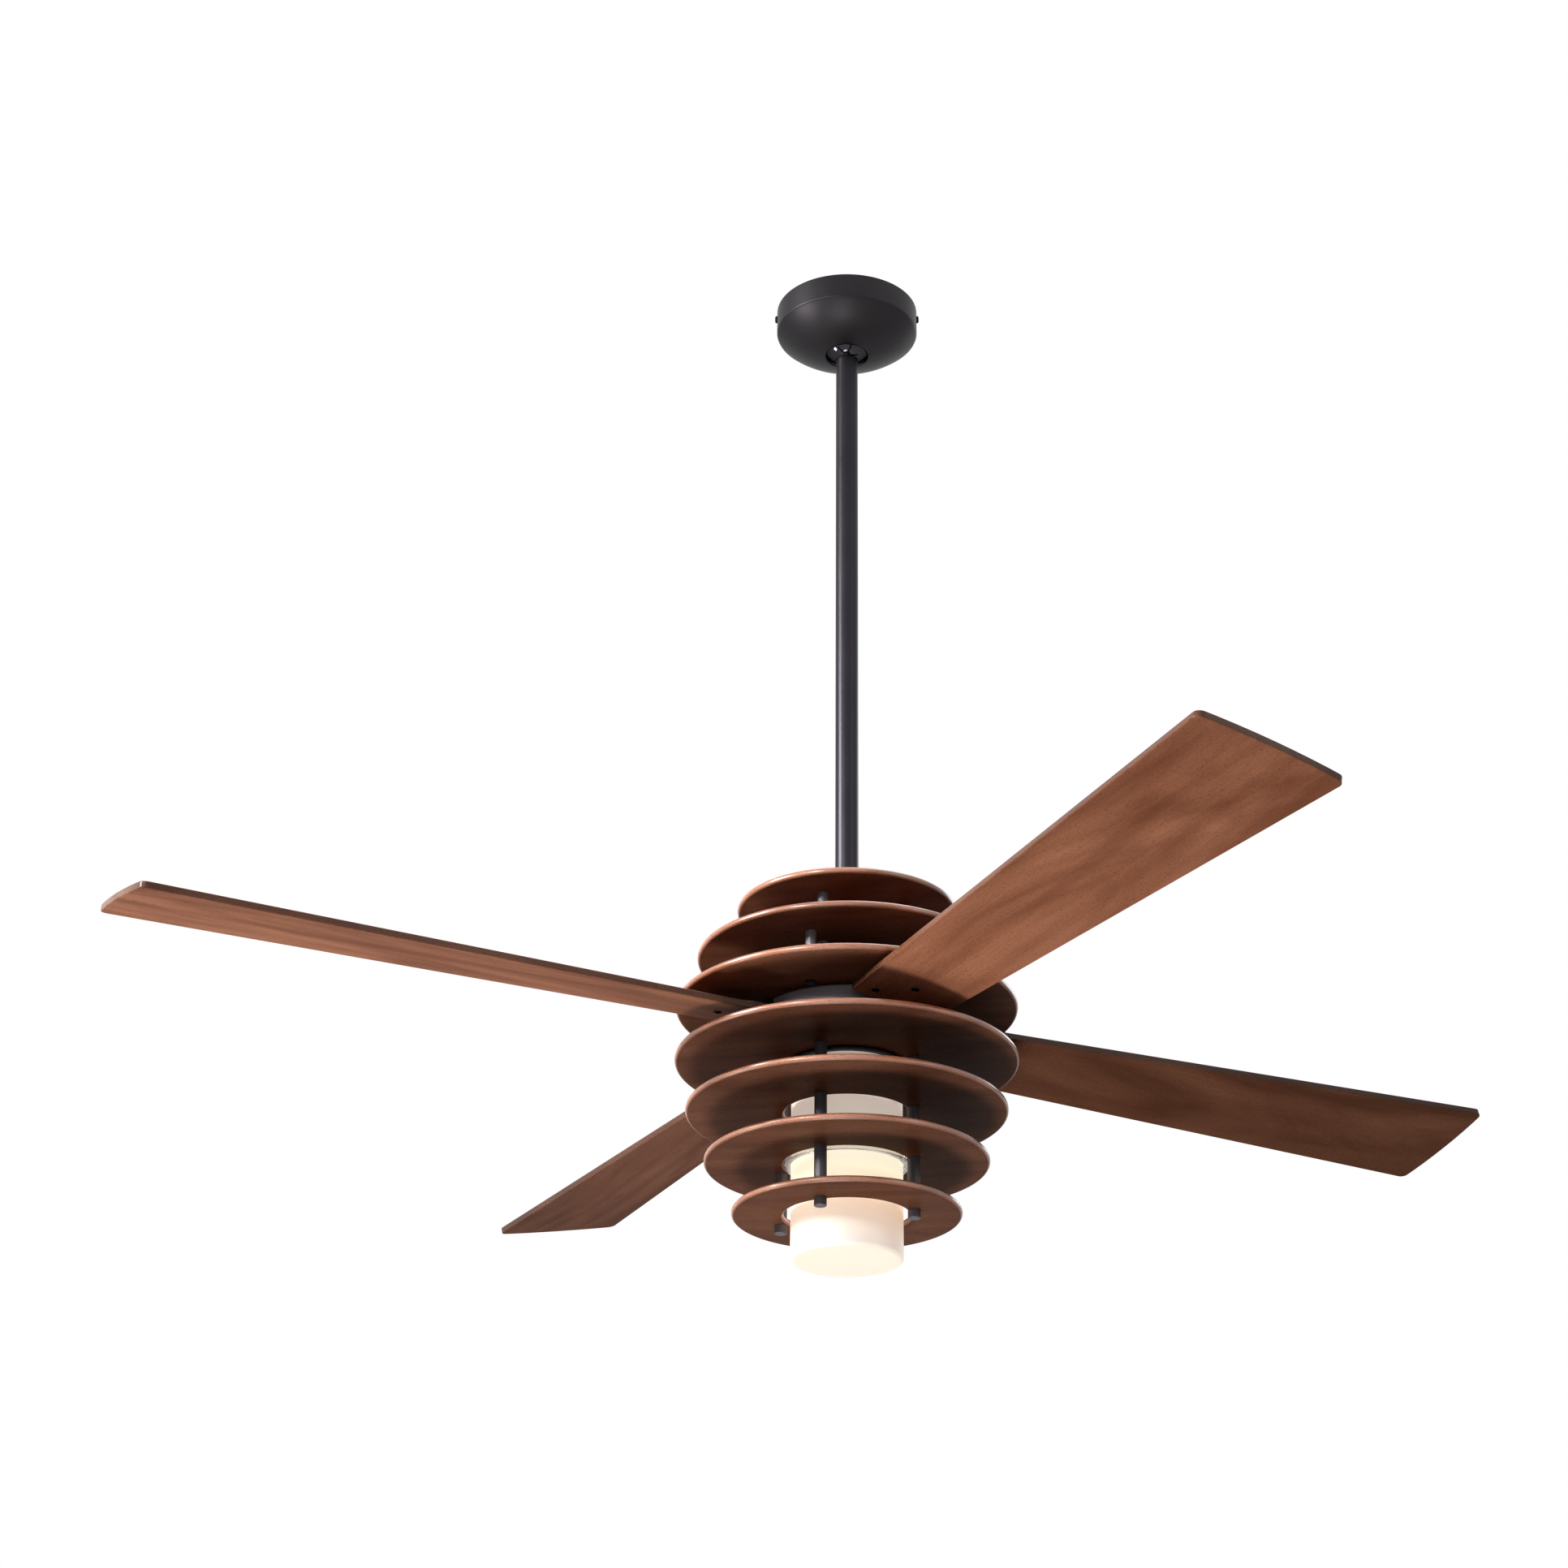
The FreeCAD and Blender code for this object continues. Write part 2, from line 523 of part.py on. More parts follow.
upper_angle = size("upper_spacer_angle")
lower_angle = size("lower_spacer_angle")
coupler_hole = "coupler_radius + hub_gap"
upper_discs = [
    wood_disc("upper_disc_1", "top_disc_radius", top_disc_z, "rod_radius + tie_clearance",
              ["upper_inner_circle"], upper_angle),
    wood_disc("upper_disc_2", "middle_disc_radius", middle_disc_z, coupler_hole,
              ["upper_inner_circle", "upper_outer_circle"], upper_angle),
    wood_disc("upper_disc_3", "base_disc_radius", base_disc_z, coupler_hole,
              ["upper_outer_circle"], upper_angle),
]
lower_discs = [wood_disc("lower_disc_1", "lower_disc_a_radius", stack_z, "shaft_neck_radius + tie_clearance",
                         ["lower_circle"], lower_angle)]
for step, radius in enumerate(("lower_disc_b_radius", "lower_disc_c_radius", "lower_disc_d_radius"), start=1):
    lower_discs.append(wood_disc("lower_disc_%d" % (step + 1), radius, stack_z - step * size("lower_pitch"),
                                 "light_hole_radius", ["lower_circle"], lower_angle))

# Upper carrier plate with its boss, held on the shaft by a retaining ring
inner_circle = size("upper_inner_circle")
outer_circle = size("upper_outer_circle")
carrier_blank = turned("UpperCarrierBlank", [
    ("shaft_radius", "0"),
    ("upper_carrier_radius", "0"),
    ("upper_carrier_radius", "carrier_sheet"),
    ("carrier_boss_radius", "carrier_sheet"),
    ("carrier_boss_radius", "carrier_sheet + carrier_boss_height"),
    ("shaft_radius", "carrier_sheet + carrier_boss_height"),
], upper_plate_bottom)
plate_holes = (pegs("tie_radius", "carrier_sheet", upper_plate_bottom, inner_circle, SPACERS, upper_angle)
               + pegs("tie_radius + tie_clearance", "carrier_sheet", upper_plate_bottom, outer_circle,
                      SPACERS, upper_angle))
upper_carrier = cut(carrier_blank, group(plate_holes), "upper_carrier")
snap_ring = tube("shaft_radius + snap_ring_width", "shaft_radius", "snap_ring_height",
                 upper_plate_bottom - size("snap_ring_height"), "snap_ring")

# Upper spacers and the tie rods that run inside them
tie_bore = "tie_radius + tie_clearance"
first_gap = "upper_pitch - disc_thickness - carrier_sheet"
second_gap = "upper_pitch - disc_thickness"
middle_disc_top = middle_disc_z + disc_half
top_disc_top = top_disc_z + disc_half
upper_inner_spacers = group(
    tubes("upper_spacer_radius", tie_bore, first_gap, upper_plate_top, inner_circle, upper_angle)
    + tubes("upper_spacer_radius", tie_bore, second_gap, middle_disc_top, inner_circle, upper_angle),
    "upper_inner_spacers")
upper_outer_spacers = group(
    tubes("upper_spacer_radius", tie_bore, first_gap, upper_plate_top, outer_circle, upper_angle),
    "upper_outer_spacers")
upper_inner_ties = group(
    pegs("tie_radius", "2 * upper_pitch + cap_thread", upper_plate_bottom, inner_circle,
         SPACERS, upper_angle), "upper_inner_ties")
base_disc_bottom = base_disc_z - disc_half


def headed_tie(x, y, angle):
    rod = cylinder("tie_radius", "upper_pitch + disc_thickness + cap_thread", at(x, y, base_disc_bottom))
    head = cylinder("top_nut_radius", "tie_head_height", at(x, y, base_disc_bottom - size("tie_head_height")))
    return joined([rod, head])


upper_outer_ties = group(on_circle(headed_tie, outer_circle, SPACERS, upper_angle), "upper_outer_ties")


def cap_nuts(radius, height, z, thread_z, circle, first_angle):
    """Closed nuts on the ends of tie rods."""
    def one(x, y, angle):
        nut = cylinder(radius, height, at(x, y, z))
        return cut(nut, cylinder("tie_radius", "cap_thread", at(x, y, thread_z)))
    return on_circle(one, circle, SPACERS, first_angle)


upper_cap_nuts = group(
    cap_nuts("top_nut_radius", "cap_height", top_disc_top, top_disc_top, inner_circle, upper_angle)
    + cap_nuts("top_nut_radius", "cap_height", middle_disc_top, middle_disc_top, outer_circle, upper_angle),
    "upper_cap_nuts")

# Fixed motor shaft, hollow for the wires, with its shoulder on the lower carrier plate
neck_length = "( shaft_nut_stub + shaft_nut_height + light_plate_sheet + disc_thickness + carrier_sheet )"
shaft_stem = "( blade_gap + carrier_boss_height + shaft_grip )"
motor_shaft = turned("motor_shaft", [
    ("shaft_bore", "0"),
    ("shaft_neck_radius", "0"),
    ("shaft_neck_radius", neck_length),
    ("shaft_radius", neck_length),
    ("shaft_radius", neck_length + " + " + shaft_stem),
    ("shaft_bore", neck_length + " + " + shaft_stem),
], shaft_bottom)

# Bearings: one pair of rings and nine balls at each end of the rotor
race_inner = "( shaft_radius + bearing_ring )"
race_outer = "( shaft_radius + bearing_ring + 2 * bearing_ball_radius + 2 * bearing_clearance )"
seat_radius = "( shaft_radius + 2 * bearing_ring + 2 * bearing_ball_radius + 2 * bearing_clearance )"
boss_radius = seat_radius + " + bearing_ring"
ball_circle = (size("shaft_radius") + size("bearing_ring") + size("bearing_ball_radius")
               + size("bearing_clearance"))
bearing_bottoms = [hub_bottom + size("hub_wall"), hub_top - size("hub_wall") - size("bearing_height")]
bearing_inner_rings = group([tube(race_inner, "shaft_radius", "bearing_height", z) for z in bearing_bottoms],
                            "bearing_inner_rings")
bearing_outer_rings = group([tube(seat_radius, race_outer, "bearing_height", z) for z in bearing_bottoms],
                            "bearing_outer_rings")


def bearing_ball(z):
    def one(x, y, angle):
        ball = sphere("bearing_ball_radius", z)
        ball.Placement = at(x, y, z)
        return ball
    return one


bearing_ball_parts = []
for bottom in bearing_bottoms:
    ball_middle = bottom + size("bearing_height") / 2
    bearing_ball_parts += on_circle(bearing_ball(ball_middle), ball_circle, BALLS, 0.0)
bearing_balls = group(bearing_ball_parts, "bearing_balls")

# Rotor: two shells that carry the bearings, the rotor core between them and four long screws
half_hub = HUB_HEIGHT + " / 2"
shell_outline = [
    ("shaft_radius + hub_gap", "0"),
    ("hub_radius", "0"),
    ("hub_radius", half_hub),
    ("hub_radius - hub_wall", half_hub),
    ("hub_radius - hub_wall", "hub_wall"),
    (boss_radius, "hub_wall"),
    (boss_radius, "hub_wall + bearing_height"),
    (seat_radius, "hub_wall + bearing_height"),
    (seat_radius, "hub_wall"),
    ("shaft_radius + hub_gap", "hub_wall"),
]
core_middle = size("hub_radius") - size("hub_wall") - size("rotor_core_wall") / 2
foot_screw_low = hub_bottom + size("foot_inset") + size("foot_screw_inset")
foot_screw_high = hub_top - size("foot_inset") - size("foot_screw_inset")
hub_face = size("hub_radius")


def radial(z, inside, radius, length):
    """Cylinders that point away from the axis, one for each blade, starting at inside."""
    def one(x, y, angle):
        turn = FreeCAD.Rotation(UP, angle) * ALONG_X
        return cylinder(radius, length, at(x, y, z, turn))
    return on_circle(one, inside, BLADES, size("blade_angle"))


def rotor_shell(label, flipped):
    blank = turned(label + "_blank", shell_outline, hub_bottom)
    if flipped:
        blank.Placement = at(0, 0, hub_top, FreeCAD.Rotation(Vec(1, 0, 0), 180))
    z = foot_screw_high if flipped else foot_screw_low
    holes = pegs("shell_screw_radius", HUB_HEIGHT, hub_bottom, core_middle, SHELL_SCREWS, 0.0)
    holes += radial(z, hub_face - 2 * size("hub_wall"), "screw_radius", "3 * hub_wall")
    return cut(blank, group(holes), label)


rotor_top_shell = rotor_shell("rotor_top_shell", True)
rotor_bottom_shell = rotor_shell("rotor_bottom_shell", False)
core_bottom = hub_middle - size("rotor_core_height") / 2
core_blank = tube("hub_radius - hub_wall", "hub_radius - hub_wall - rotor_core_wall", "rotor_core_height",
                  core_bottom)
core_holes = pegs("shell_screw_radius", "rotor_core_height", core_bottom, core_middle, SHELL_SCREWS, 0.0)
rotor_core = cut(core_blank, group(core_holes), "rotor_core")
shell_screws = group(pegs("shell_screw_radius", HUB_HEIGHT, hub_bottom, core_middle, SHELL_SCREWS, 0.0),
                     "shell_screws")

# Stator stack with slots, and the windings that fill them
stator_face = "( hub_radius - hub_wall - rotor_core_wall - air_gap )"
stator_bottom = hub_middle - size("stator_height") / 2
slot_start = size("shaft_radius") + size("stator_bore_wall")
slot_end = "( hub_radius - hub_wall - rotor_core_wall - air_gap - slot_lip )"
slot_span = slot_end + " - ( shaft_radius + stator_bore_wall )"


def slot_bars(width, inset, z, height):
    half = size("slot_width") / 2 - inset

    def one(x, y, angle):
        bar = box(slot_span + " - %s" % ("2 * coil_inset" if inset else "0"), width, height, (0, 0, 0))
        turn = round_axis(angle)
        bar.Placement = turn.multiply(at(slot_start + inset, -half, z))
        return bar
    return on_circle(one, slot_start, SLOTS, 0.0)


stator_blank = tube(stator_face, "shaft_radius", "stator_height", stator_bottom)
stator_slots = group(slot_bars("slot_width", 0.0, stator_bottom, "stator_height"))
stator_core = cut(stator_blank, stator_slots, "stator_core")
coil_gap = size("coil_inset")
coil_bottom = stator_bottom - coil_gap - size("coil_height")
coil_top = stator_bottom + size("stator_height") + coil_gap
coil_ring = (slot_end + " - coil_inset", "shaft_radius + stator_bore_wall + coil_inset", "coil_height")
coil_bars = slot_bars("slot_width - 2 * coil_inset", coil_gap, coil_bottom,
                      "stator_height + 2 * coil_inset + 2 * coil_height")
stator_windings = joined([tube(*coil_ring, coil_bottom), tube(*coil_ring, coil_top)] + coil_bars,
                         "stator_windings")


# Blades and their irons, pitched about the radial line through the hub
def mirrored_outline(sketch, half):
    """A closed outline, symmetric about the X axis: half is (x, half width) pairs."""
    count = len(half)
    start = size("hub_radius")
    guess = [Vec(start + start * i / count, start / count, 0) for i in range(count)]
    corners = guess + [Vec(p.x, -p.y, 0) for p in reversed(guess)]
    total = len(corners)
    for index in range(total):
        sketch.addGeometry(Part.LineSegment(corners[index], corners[(index + 1) % total]))
    for index in range(total):
        sketch.addConstraint(Sketcher.Constraint("Coincident", index, 2, (index + 1) % total, 1))
    for index, (x, width) in enumerate(half):
        pin_down(sketch, "DistanceX", (-1, 1, index, 1, guess[index].x), x)
        pin_down(sketch, "DistanceY", (-1, 1, index, 1, guess[index].y), width)
        sketch.addConstraint(Sketcher.Constraint("Symmetric", index, 1, total - 1 - index, 1, -1))


def pitched(lift):
    """The blade's own plane, moved up along its normal by lift."""
    turn = FreeCAD.Rotation(Vec(-1, 0, 0), size("blade_pitch_angle"))
    base = Vec(0, 0, size("blade_rise")) + turn.multVec(Vec(0, 0, lift))
    return FreeCAD.Placement(base, turn)


half_blade = size("blade_thickness") / 2
screw_spots = [
    (size("inner_screw_radius"), size("inner_screw_spread") / 2),
    (size("inner_screw_radius"), -size("inner_screw_spread") / 2),
    (size("outer_screw_radius"), 0.0),
]


def blade_place(index):
    angle = size("blade_angle") + 360.0 * index / BLADES
    return FreeCAD.Placement(Vec(0, 0, stack_z), FreeCAD.Rotation(UP, angle))


def screw_pegs(index, radius, height, lift):
    """Cylinders on one blade's three screw spots, along its normal."""
    pegs_here = []
    for x, y in screw_spots:
        spot = blade_place(index).multiply(pitched(lift)).multiply(at(x, y, 0))
        pegs_here.append(cylinder(radius, height, spot))
    return pegs_here


def blade(index):
    label = "blade_%d" % (index + 1)
    body = doc.addObject("PartDesign::Body", label + "_blank")
    sketch = sketch_in(body, place=pitched(0.0))
    tip = size("blade_tip_radius")
    half_tip = size("blade_tip_width") / 2
    half_root = size("blade_root_width") / 2
    root = size("blade_root_radius")
    sweep = math.asin(half_tip / tip)
    end_x = tip * math.cos(sweep)
    sketch.addGeometry(Part.LineSegment(Vec(root, -half_root, 0), Vec(end_x, -half_tip, 0)))
    sketch.addGeometry(Part.ArcOfCircle(Part.Circle(Vec(0, 0, 0), UP, tip), -sweep, sweep))
    sketch.addGeometry(Part.LineSegment(Vec(end_x, half_tip, 0), Vec(root, half_root, 0)))
    sketch.addGeometry(Part.LineSegment(Vec(root, half_root, 0), Vec(root, -half_root, 0)))
    for index_here in range(4):
        sketch.addConstraint(Sketcher.Constraint("Coincident", index_here, 2, (index_here + 1) % 4, 1))
    sketch.addConstraint(Sketcher.Constraint("Coincident", 1, 3, -1, 1))
    sketch.addConstraint(Sketcher.Constraint("Symmetric", 0, 1, 2, 2, -1))
    pin_down(sketch, "Radius", (1, tip), "blade_tip_radius")
    pin_down(sketch, "DistanceX", (-1, 1, 2, 2, root), "blade_root_radius")
    pin_down(sketch, "DistanceY", (-1, 1, 2, 2, half_root), "blade_root_width / 2")
    pin_down(sketch, "DistanceY", (-1, 1, 2, 1, half_tip), "blade_tip_width / 2")
    pin_down(sketch, "DistanceY", (0, 2, 2, 1, 2 * half_tip), "blade_tip_width")
    pad = body.newObject("PartDesign::Pad", "Board")
    pad.Profile = sketch
    pad.Midplane = True
    bind(pad, "Length", "blade_thickness")
    normal = pitched(0.0).Rotation.multVec(UP)
    far = 0.9 * tip

    def tip_corner(edge):
        line = edge.Vertexes[-1].Point - edge.Vertexes[0].Point
        along = abs(line.normalize().dot(normal)) > 0.99 if edge.Length > 0.001 else False
        return along and edge.CenterOfMass.x > far

    def rim(edge):
        return abs(abs((edge.CenterOfMass - pitched(0.0).Base).dot(normal)) - half_blade) < 0.001
    rounded(body, "blade_corner", tip_corner)
    rounded(body, "min( blade_edge ; 0.45 * blade_thickness )", rim)
    body.Placement = blade_place(index)
    holes = screw_pegs(index, "screw_radius", "blade_thickness", -half_blade)
    return cut(body, group(holes), label)


def blade_iron(index):
    label = "blade_iron_%d" % (index + 1)
    body = doc.addObject("PartDesign::Body", label + "_blank")
    plate_sketch = sketch_in(body, place=pitched(half_blade))
    mirrored_outline(plate_sketch, [
        ("hub_radius - 3 * iron_foot", "iron_foot_width / 2"),
        ("blade_root_radius", "iron_foot_width / 2"),
        ("blade_root_radius + iron_foot", "iron_width / 2"),
        ("iron_shoulder", "iron_width / 2"),
        ("iron_reach", "iron_tip_width / 2"),
    ])
    plate = body.newObject("PartDesign::Pad", "Plate")
    plate.Profile = plate_sketch
    bind(plate, "Length", "iron_sheet")
    foot_bottom = hub_bottom - stack_z + size("foot_inset")
    foot_sketch = sketch_in(body, place=at(0, 0, foot_bottom))
    mirrored_outline(foot_sketch, [
        ("hub_radius - 3 * iron_foot", "iron_foot_width / 2"),
        ("hub_radius + iron_foot", "iron_foot_width / 2"),
    ])
    foot = body.newObject("PartDesign::Pad", "Foot")
    foot.Profile = foot_sketch
    bind(foot, "Length", HUB_HEIGHT + " - 2 * foot_inset")
    body.Placement = blade_place(index)
    drum = cylinder("hub_radius", HUB_HEIGHT, at(0, 0, hub_bottom))
    holes = screw_pegs(index, "screw_radius", "iron_sheet", half_blade)
    return cut(body, group([drum] + holes), label)


def foot_holes(iron, label, index):
    angle = size("blade_angle") + 360.0 * index / BLADES
    tools = []
    for z in (foot_screw_low, foot_screw_high):
        turn = FreeCAD.Rotation(UP, angle) * ALONG_X
        start = round_axis(angle).multVec(Vec(hub_face - size("iron_foot"), 0, z))
        tools.append(cylinder("screw_radius", "3 * iron_foot", FreeCAD.Placement(start, turn)))
    iron.Label = label + "_undrilled"
    return cut(iron, group(tools), label)


blades = [blade(index) for index in range(BLADES)]
blade_irons = [foot_holes(blade_iron(index), "blade_iron_%d" % (index + 1), index) for index in range(BLADES)]

# Screws of the blades and of the irons' feet
blade_screw_parts = []
for index in range(BLADES):
    shanks = screw_pegs(index, "screw_radius", "blade_thickness + iron_sheet", -half_blade)
    head_lift = -half_blade - size("screw_head_height")
    heads = screw_pegs(index, "screw_head_radius", "screw_head_height", head_lift)
    blade_screw_parts += [joined([shank_part, head]) for shank_part, head in zip(shanks, heads)]
blade_screws = group(blade_screw_parts, "blade_screws")
iron_screw_parts = []
for z in (foot_screw_low, foot_screw_high):
    shanks = radial(z, hub_face - size("hub_wall"), "screw_radius", "hub_wall + iron_foot")
    heads = radial(z, hub_face + size("iron_foot"), "screw_head_radius", "screw_head_height")
    iron_screw_parts += [joined([shank_part, head]) for shank_part, head in zip(shanks, heads)]
iron_screws = group(iron_screw_parts, "iron_screws")

# Lower carrier plate, spacers, tie rods and cap nuts
lower_circle = size("lower_circle")
lower_plate_blank = tube("lower_carrier_radius", "shaft_neck_radius", "carrier_sheet", lower_plate_bottom)
lower_plate_holes = pegs("tie_radius", "carrier_sheet", lower_plate_bottom, lower_circle, SPACERS, lower_angle)
lower_carrier = cut(lower_plate_blank, group(lower_plate_holes), "lower_carrier")
lower_spacer_parts = []
for step in (1, 2, 3):
    spacer_z = stack_z - step * size("lower_pitch") + disc_half
    lower_spacer_parts += tubes("lower_spacer_radius", tie_bore, "lower_pitch - disc_thickness", spacer_z,
                                lower_circle, lower_angle)
lower_spacers = group(lower_spacer_parts, "lower_spacers")
last_disc_bottom = last_disc_z - disc_half
tie_bottom = last_disc_bottom - size("cap_thread")
lower_tie_length = "3 * lower_pitch + disc_thickness + carrier_sheet + cap_thread"
lower_ties = group(pegs("tie_radius", lower_tie_length, tie_bottom, lower_circle, SPACERS, lower_angle),
                   "lower_ties")
lower_cap_bottom = last_disc_bottom - size("cap_height")
lower_cap_nuts = group(cap_nuts("lower_spacer_radius", "cap_height", lower_cap_bottom, tie_bottom, lower_circle,
                                lower_angle), "lower_cap_nuts")

# Light: plate and cup under the shaft, clamped by the shaft nut
light_plate = tube("light_plate_radius", "shaft_neck_radius", "light_plate_sheet", light_plate_bottom,
                   "light_plate")
nut_blank = doc.addObject("Part::Prism", "NutBlank")
nut_blank.Polygon = 6
bind(nut_blank, "Circumradius", "shaft_nut_flats / sqrt( 3 )")
bind(nut_blank, "Height", "shaft_nut_height")
nut_bottom = light_plate_bottom - size("shaft_nut_height")
nut_blank.Placement = at(0, 0, nut_bottom)
nut_bore = cylinder("shaft_neck_radius", "shaft_nut_height", at(0, 0, nut_bottom))
shaft_nut = cut(nut_blank, nut_bore, "shaft_nut")
cup_height = "2 * lower_pitch - disc_thickness / 2 - light_plate_sheet"
lamp_cup = turned("lamp_cup", [
    ("cup_radius - cup_wall", "0"),
    ("cup_radius", "0"),
    ("cup_radius", cup_height),
    ("cup_hole", cup_height),
    ("cup_hole", cup_height + " - cup_wall"),
    ("cup_radius - cup_wall", cup_height + " - cup_wall"),
], cup_bottom)

# Glass drum in its collar, with the two set screws that hold it
collar_bottom = cup_bottom - size("collar_height") / 2
collar_blank = tube("collar_radius", "cup_radius + collar_fit", "collar_height", collar_bottom)
glass_screw_z = cup_bottom - size("collar_height") / 4
collar_holes = cylinder("glass_screw_radius", "2 * collar_radius",
                        at(-size("collar_radius"), 0, glass_screw_z, ALONG_X))
glass_collar = cut(collar_blank, collar_holes, "glass_collar")
glass_bottom = stack_z - size("glass_drop")
glass_height = "glass_drop - 2 * lower_pitch"


def drum(label, radius, height, rounding, z):
    """A round block with a rounded lower edge."""
    body = doc.addObject("PartDesign::Body", label)
    sketch = sketch_in(body)
    start = size("cup_radius")
    sketch.addGeometry(Part.Circle(Vec(0, 0, 0), UP, start))
    sketch.addConstraint(Sketcher.Constraint("Coincident", 0, 3, -1, 1))
    pin_down(sketch, "Radius", (0, start), radius)
    block = body.newObject("PartDesign::Pad", "Block")
    block.Profile = sketch
    bind(block, "Length", height)
    rounded(body, rounding, lambda edge: edge.CenterOfMass.z < 0.001 and isinstance(edge.Curve, Part.Circle))
    body.Placement = at(0, 0, z)
    return body


glass_outside = drum("GlassOutside", "cup_radius", glass_height, "glass_round", glass_bottom)
glass_inside = drum("GlassInside", "cup_radius - glass_wall", glass_height, "glass_round",
                    glass_bottom + size("glass_wall"))
glass_shade = cut(glass_outside, glass_inside, "glass_shade")
screw_reach = "collar_radius - cup_radius"
glass_screw_parts = [cylinder("glass_screw_radius", screw_reach, at(x, 0, glass_screw_z, ALONG_X))
                     for x in (-size("collar_radius"), size("cup_radius"))]
glass_gauge = cylinder("cup_radius", "collar_height", at(0, 0, collar_bottom))
glass_set_screws = cut(group(glass_screw_parts), glass_gauge, "glass_set_screws")

# Lamp bridge, socket, lamp and run capacitor inside the cup
bridge_inner = size("bridge_half_span")
bridge_foot = size("bridge_toe")
bridge_bottom = cup_roof - size("bridge_drop")
bridge_wall = size("bridge_sheet")
half_bridge = size("bridge_width") / 2
bridge_parts = [box("2 * bridge_half_span + 2 * bridge_sheet", "bridge_width", "bridge_sheet",
                    (-bridge_inner - bridge_wall, -half_bridge, bridge_bottom))]
bridge_ends = ((-bridge_inner - bridge_wall, -bridge_inner - bridge_foot), (bridge_inner, bridge_inner))
for leg_x, toe_x in bridge_ends:
    bridge_parts.append(box("bridge_sheet", "bridge_width", "bridge_drop",
                            (leg_x, -half_bridge, bridge_bottom)))
    bridge_parts.append(box("bridge_toe", "bridge_width", "bridge_sheet",
                            (toe_x, -half_bridge, cup_roof - bridge_wall)))
lamp_bridge = joined(bridge_parts, "lamp_bridge")
socket_bottom = bridge_bottom - size("socket_height")
socket_blank = cylinder("socket_radius", "socket_height", at(0, 0, socket_bottom))
socket_bore = cylinder("cap_radius + cap_clearance", "socket_height - socket_floor", at(0, 0, socket_bottom))
lamp_socket = cut(socket_blank, socket_bore, "lamp_socket")
screw_cap = cylinder("cap_radius", "socket_height - socket_floor + bulb_drop",
                     at(0, 0, socket_bottom - size("bulb_drop")))
lamp = joined([screw_cap, sphere("bulb_radius", socket_bottom - size("bulb_drop"))], "lamp")
capacitor_corner = (-size("capacitor_length") / 2, size("capacitor_offset"), cup_roof - size("capacitor_height"))
run_capacitor = box("capacitor_length", "capacitor_width", "capacitor_height", capacitor_corner, "run_capacitor")

NODES = [
    hanger_bracket, canopy, canopy_screws, ball_liner, hanger_ball, hanger_pin, downrod, coupler, coupler_pin,
    coupler_set_screws, upper_carrier, snap_ring, upper_inner_spacers, upper_outer_spacers, upper_inner_ties,
    upper_outer_ties, upper_cap_nuts, motor_shaft, bearing_inner_rings, bearing_outer_rings, bearing_balls,
    rotor_top_shell, rotor_bottom_shell, rotor_core, shell_screws, stator_core, stator_windings, blade_screws,
    iron_screws, lower_carrier, lower_spacers, lower_ties, lower_cap_nuts, light_plate, shaft_nut, lamp_cup,
    glass_collar, glass_shade, glass_set_screws, lamp_bridge, lamp_socket, lamp, run_capacitor,
] + upper_discs + lower_discs + blades + blade_irons

doc.recompute()
for item in doc.Objects:
    if "Invalid" in item.State or "Error" in item.State:
        raise RuntimeError("%s (%s) failed: %s" % (item.Label, item.Name, item.State))
for node in NODES:
    if node.Shape.isNull() or not node.Shape.isValid():
        raise RuntimeError("%s has no valid shape" % node.Label)

os.makedirs("parts", exist_ok=True)
for node in NODES:
    node.Shape.exportStep("parts/%s.step" % node.Label)
    print("%s: %d solids, %.1f mm3" % (node.Label, len(node.Shape.Solids), node.Shape.Volume))
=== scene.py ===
# %% [markdown]
# A ceiling fan with walnut blades, stacked wood discs and an opal drum light.
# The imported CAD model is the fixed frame: it says where every piece is and which body it rides on.
# This lesson dresses that frame with finer meshes and with finishes made from shader nodes.

# %% Load the frame and keep the CAD box
import json
import math

import bmesh
import bpy
from mathutils import Matrix, Vector


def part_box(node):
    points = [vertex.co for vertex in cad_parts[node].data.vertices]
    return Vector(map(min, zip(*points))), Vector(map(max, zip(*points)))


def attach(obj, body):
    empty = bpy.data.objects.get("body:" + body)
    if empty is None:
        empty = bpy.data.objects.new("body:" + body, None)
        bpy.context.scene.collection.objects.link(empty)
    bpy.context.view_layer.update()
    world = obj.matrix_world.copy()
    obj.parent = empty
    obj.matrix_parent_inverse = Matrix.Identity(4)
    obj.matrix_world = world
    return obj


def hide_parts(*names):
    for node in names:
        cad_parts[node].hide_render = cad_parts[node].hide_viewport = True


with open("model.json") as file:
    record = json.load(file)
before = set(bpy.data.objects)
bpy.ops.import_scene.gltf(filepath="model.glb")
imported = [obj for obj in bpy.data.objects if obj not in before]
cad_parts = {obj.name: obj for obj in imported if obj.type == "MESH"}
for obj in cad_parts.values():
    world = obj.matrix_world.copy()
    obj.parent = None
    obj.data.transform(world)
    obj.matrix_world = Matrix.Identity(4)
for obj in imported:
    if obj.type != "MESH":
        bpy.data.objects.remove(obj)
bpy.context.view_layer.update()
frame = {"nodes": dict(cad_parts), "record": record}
nodes = frame["nodes"]
scene = bpy.context.scene
MM = 0.001

# %% [markdown]
# Every new piece has to sit where its CAD node sits. Typing heights a second time would invite
# drift, so four short helpers read them from the boxes of the nodes.

# %% Where the nodes are


def middle(node):
    """Centre of a node's box."""
    low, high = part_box(node)
    return (Vector(low) + Vector(high)) / 2


def base_of(node):
    """Height of a node's lowest point."""
    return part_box(node)[0][2]


def top_of(node):
    """Height of a node's highest point."""
    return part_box(node)[1][2]


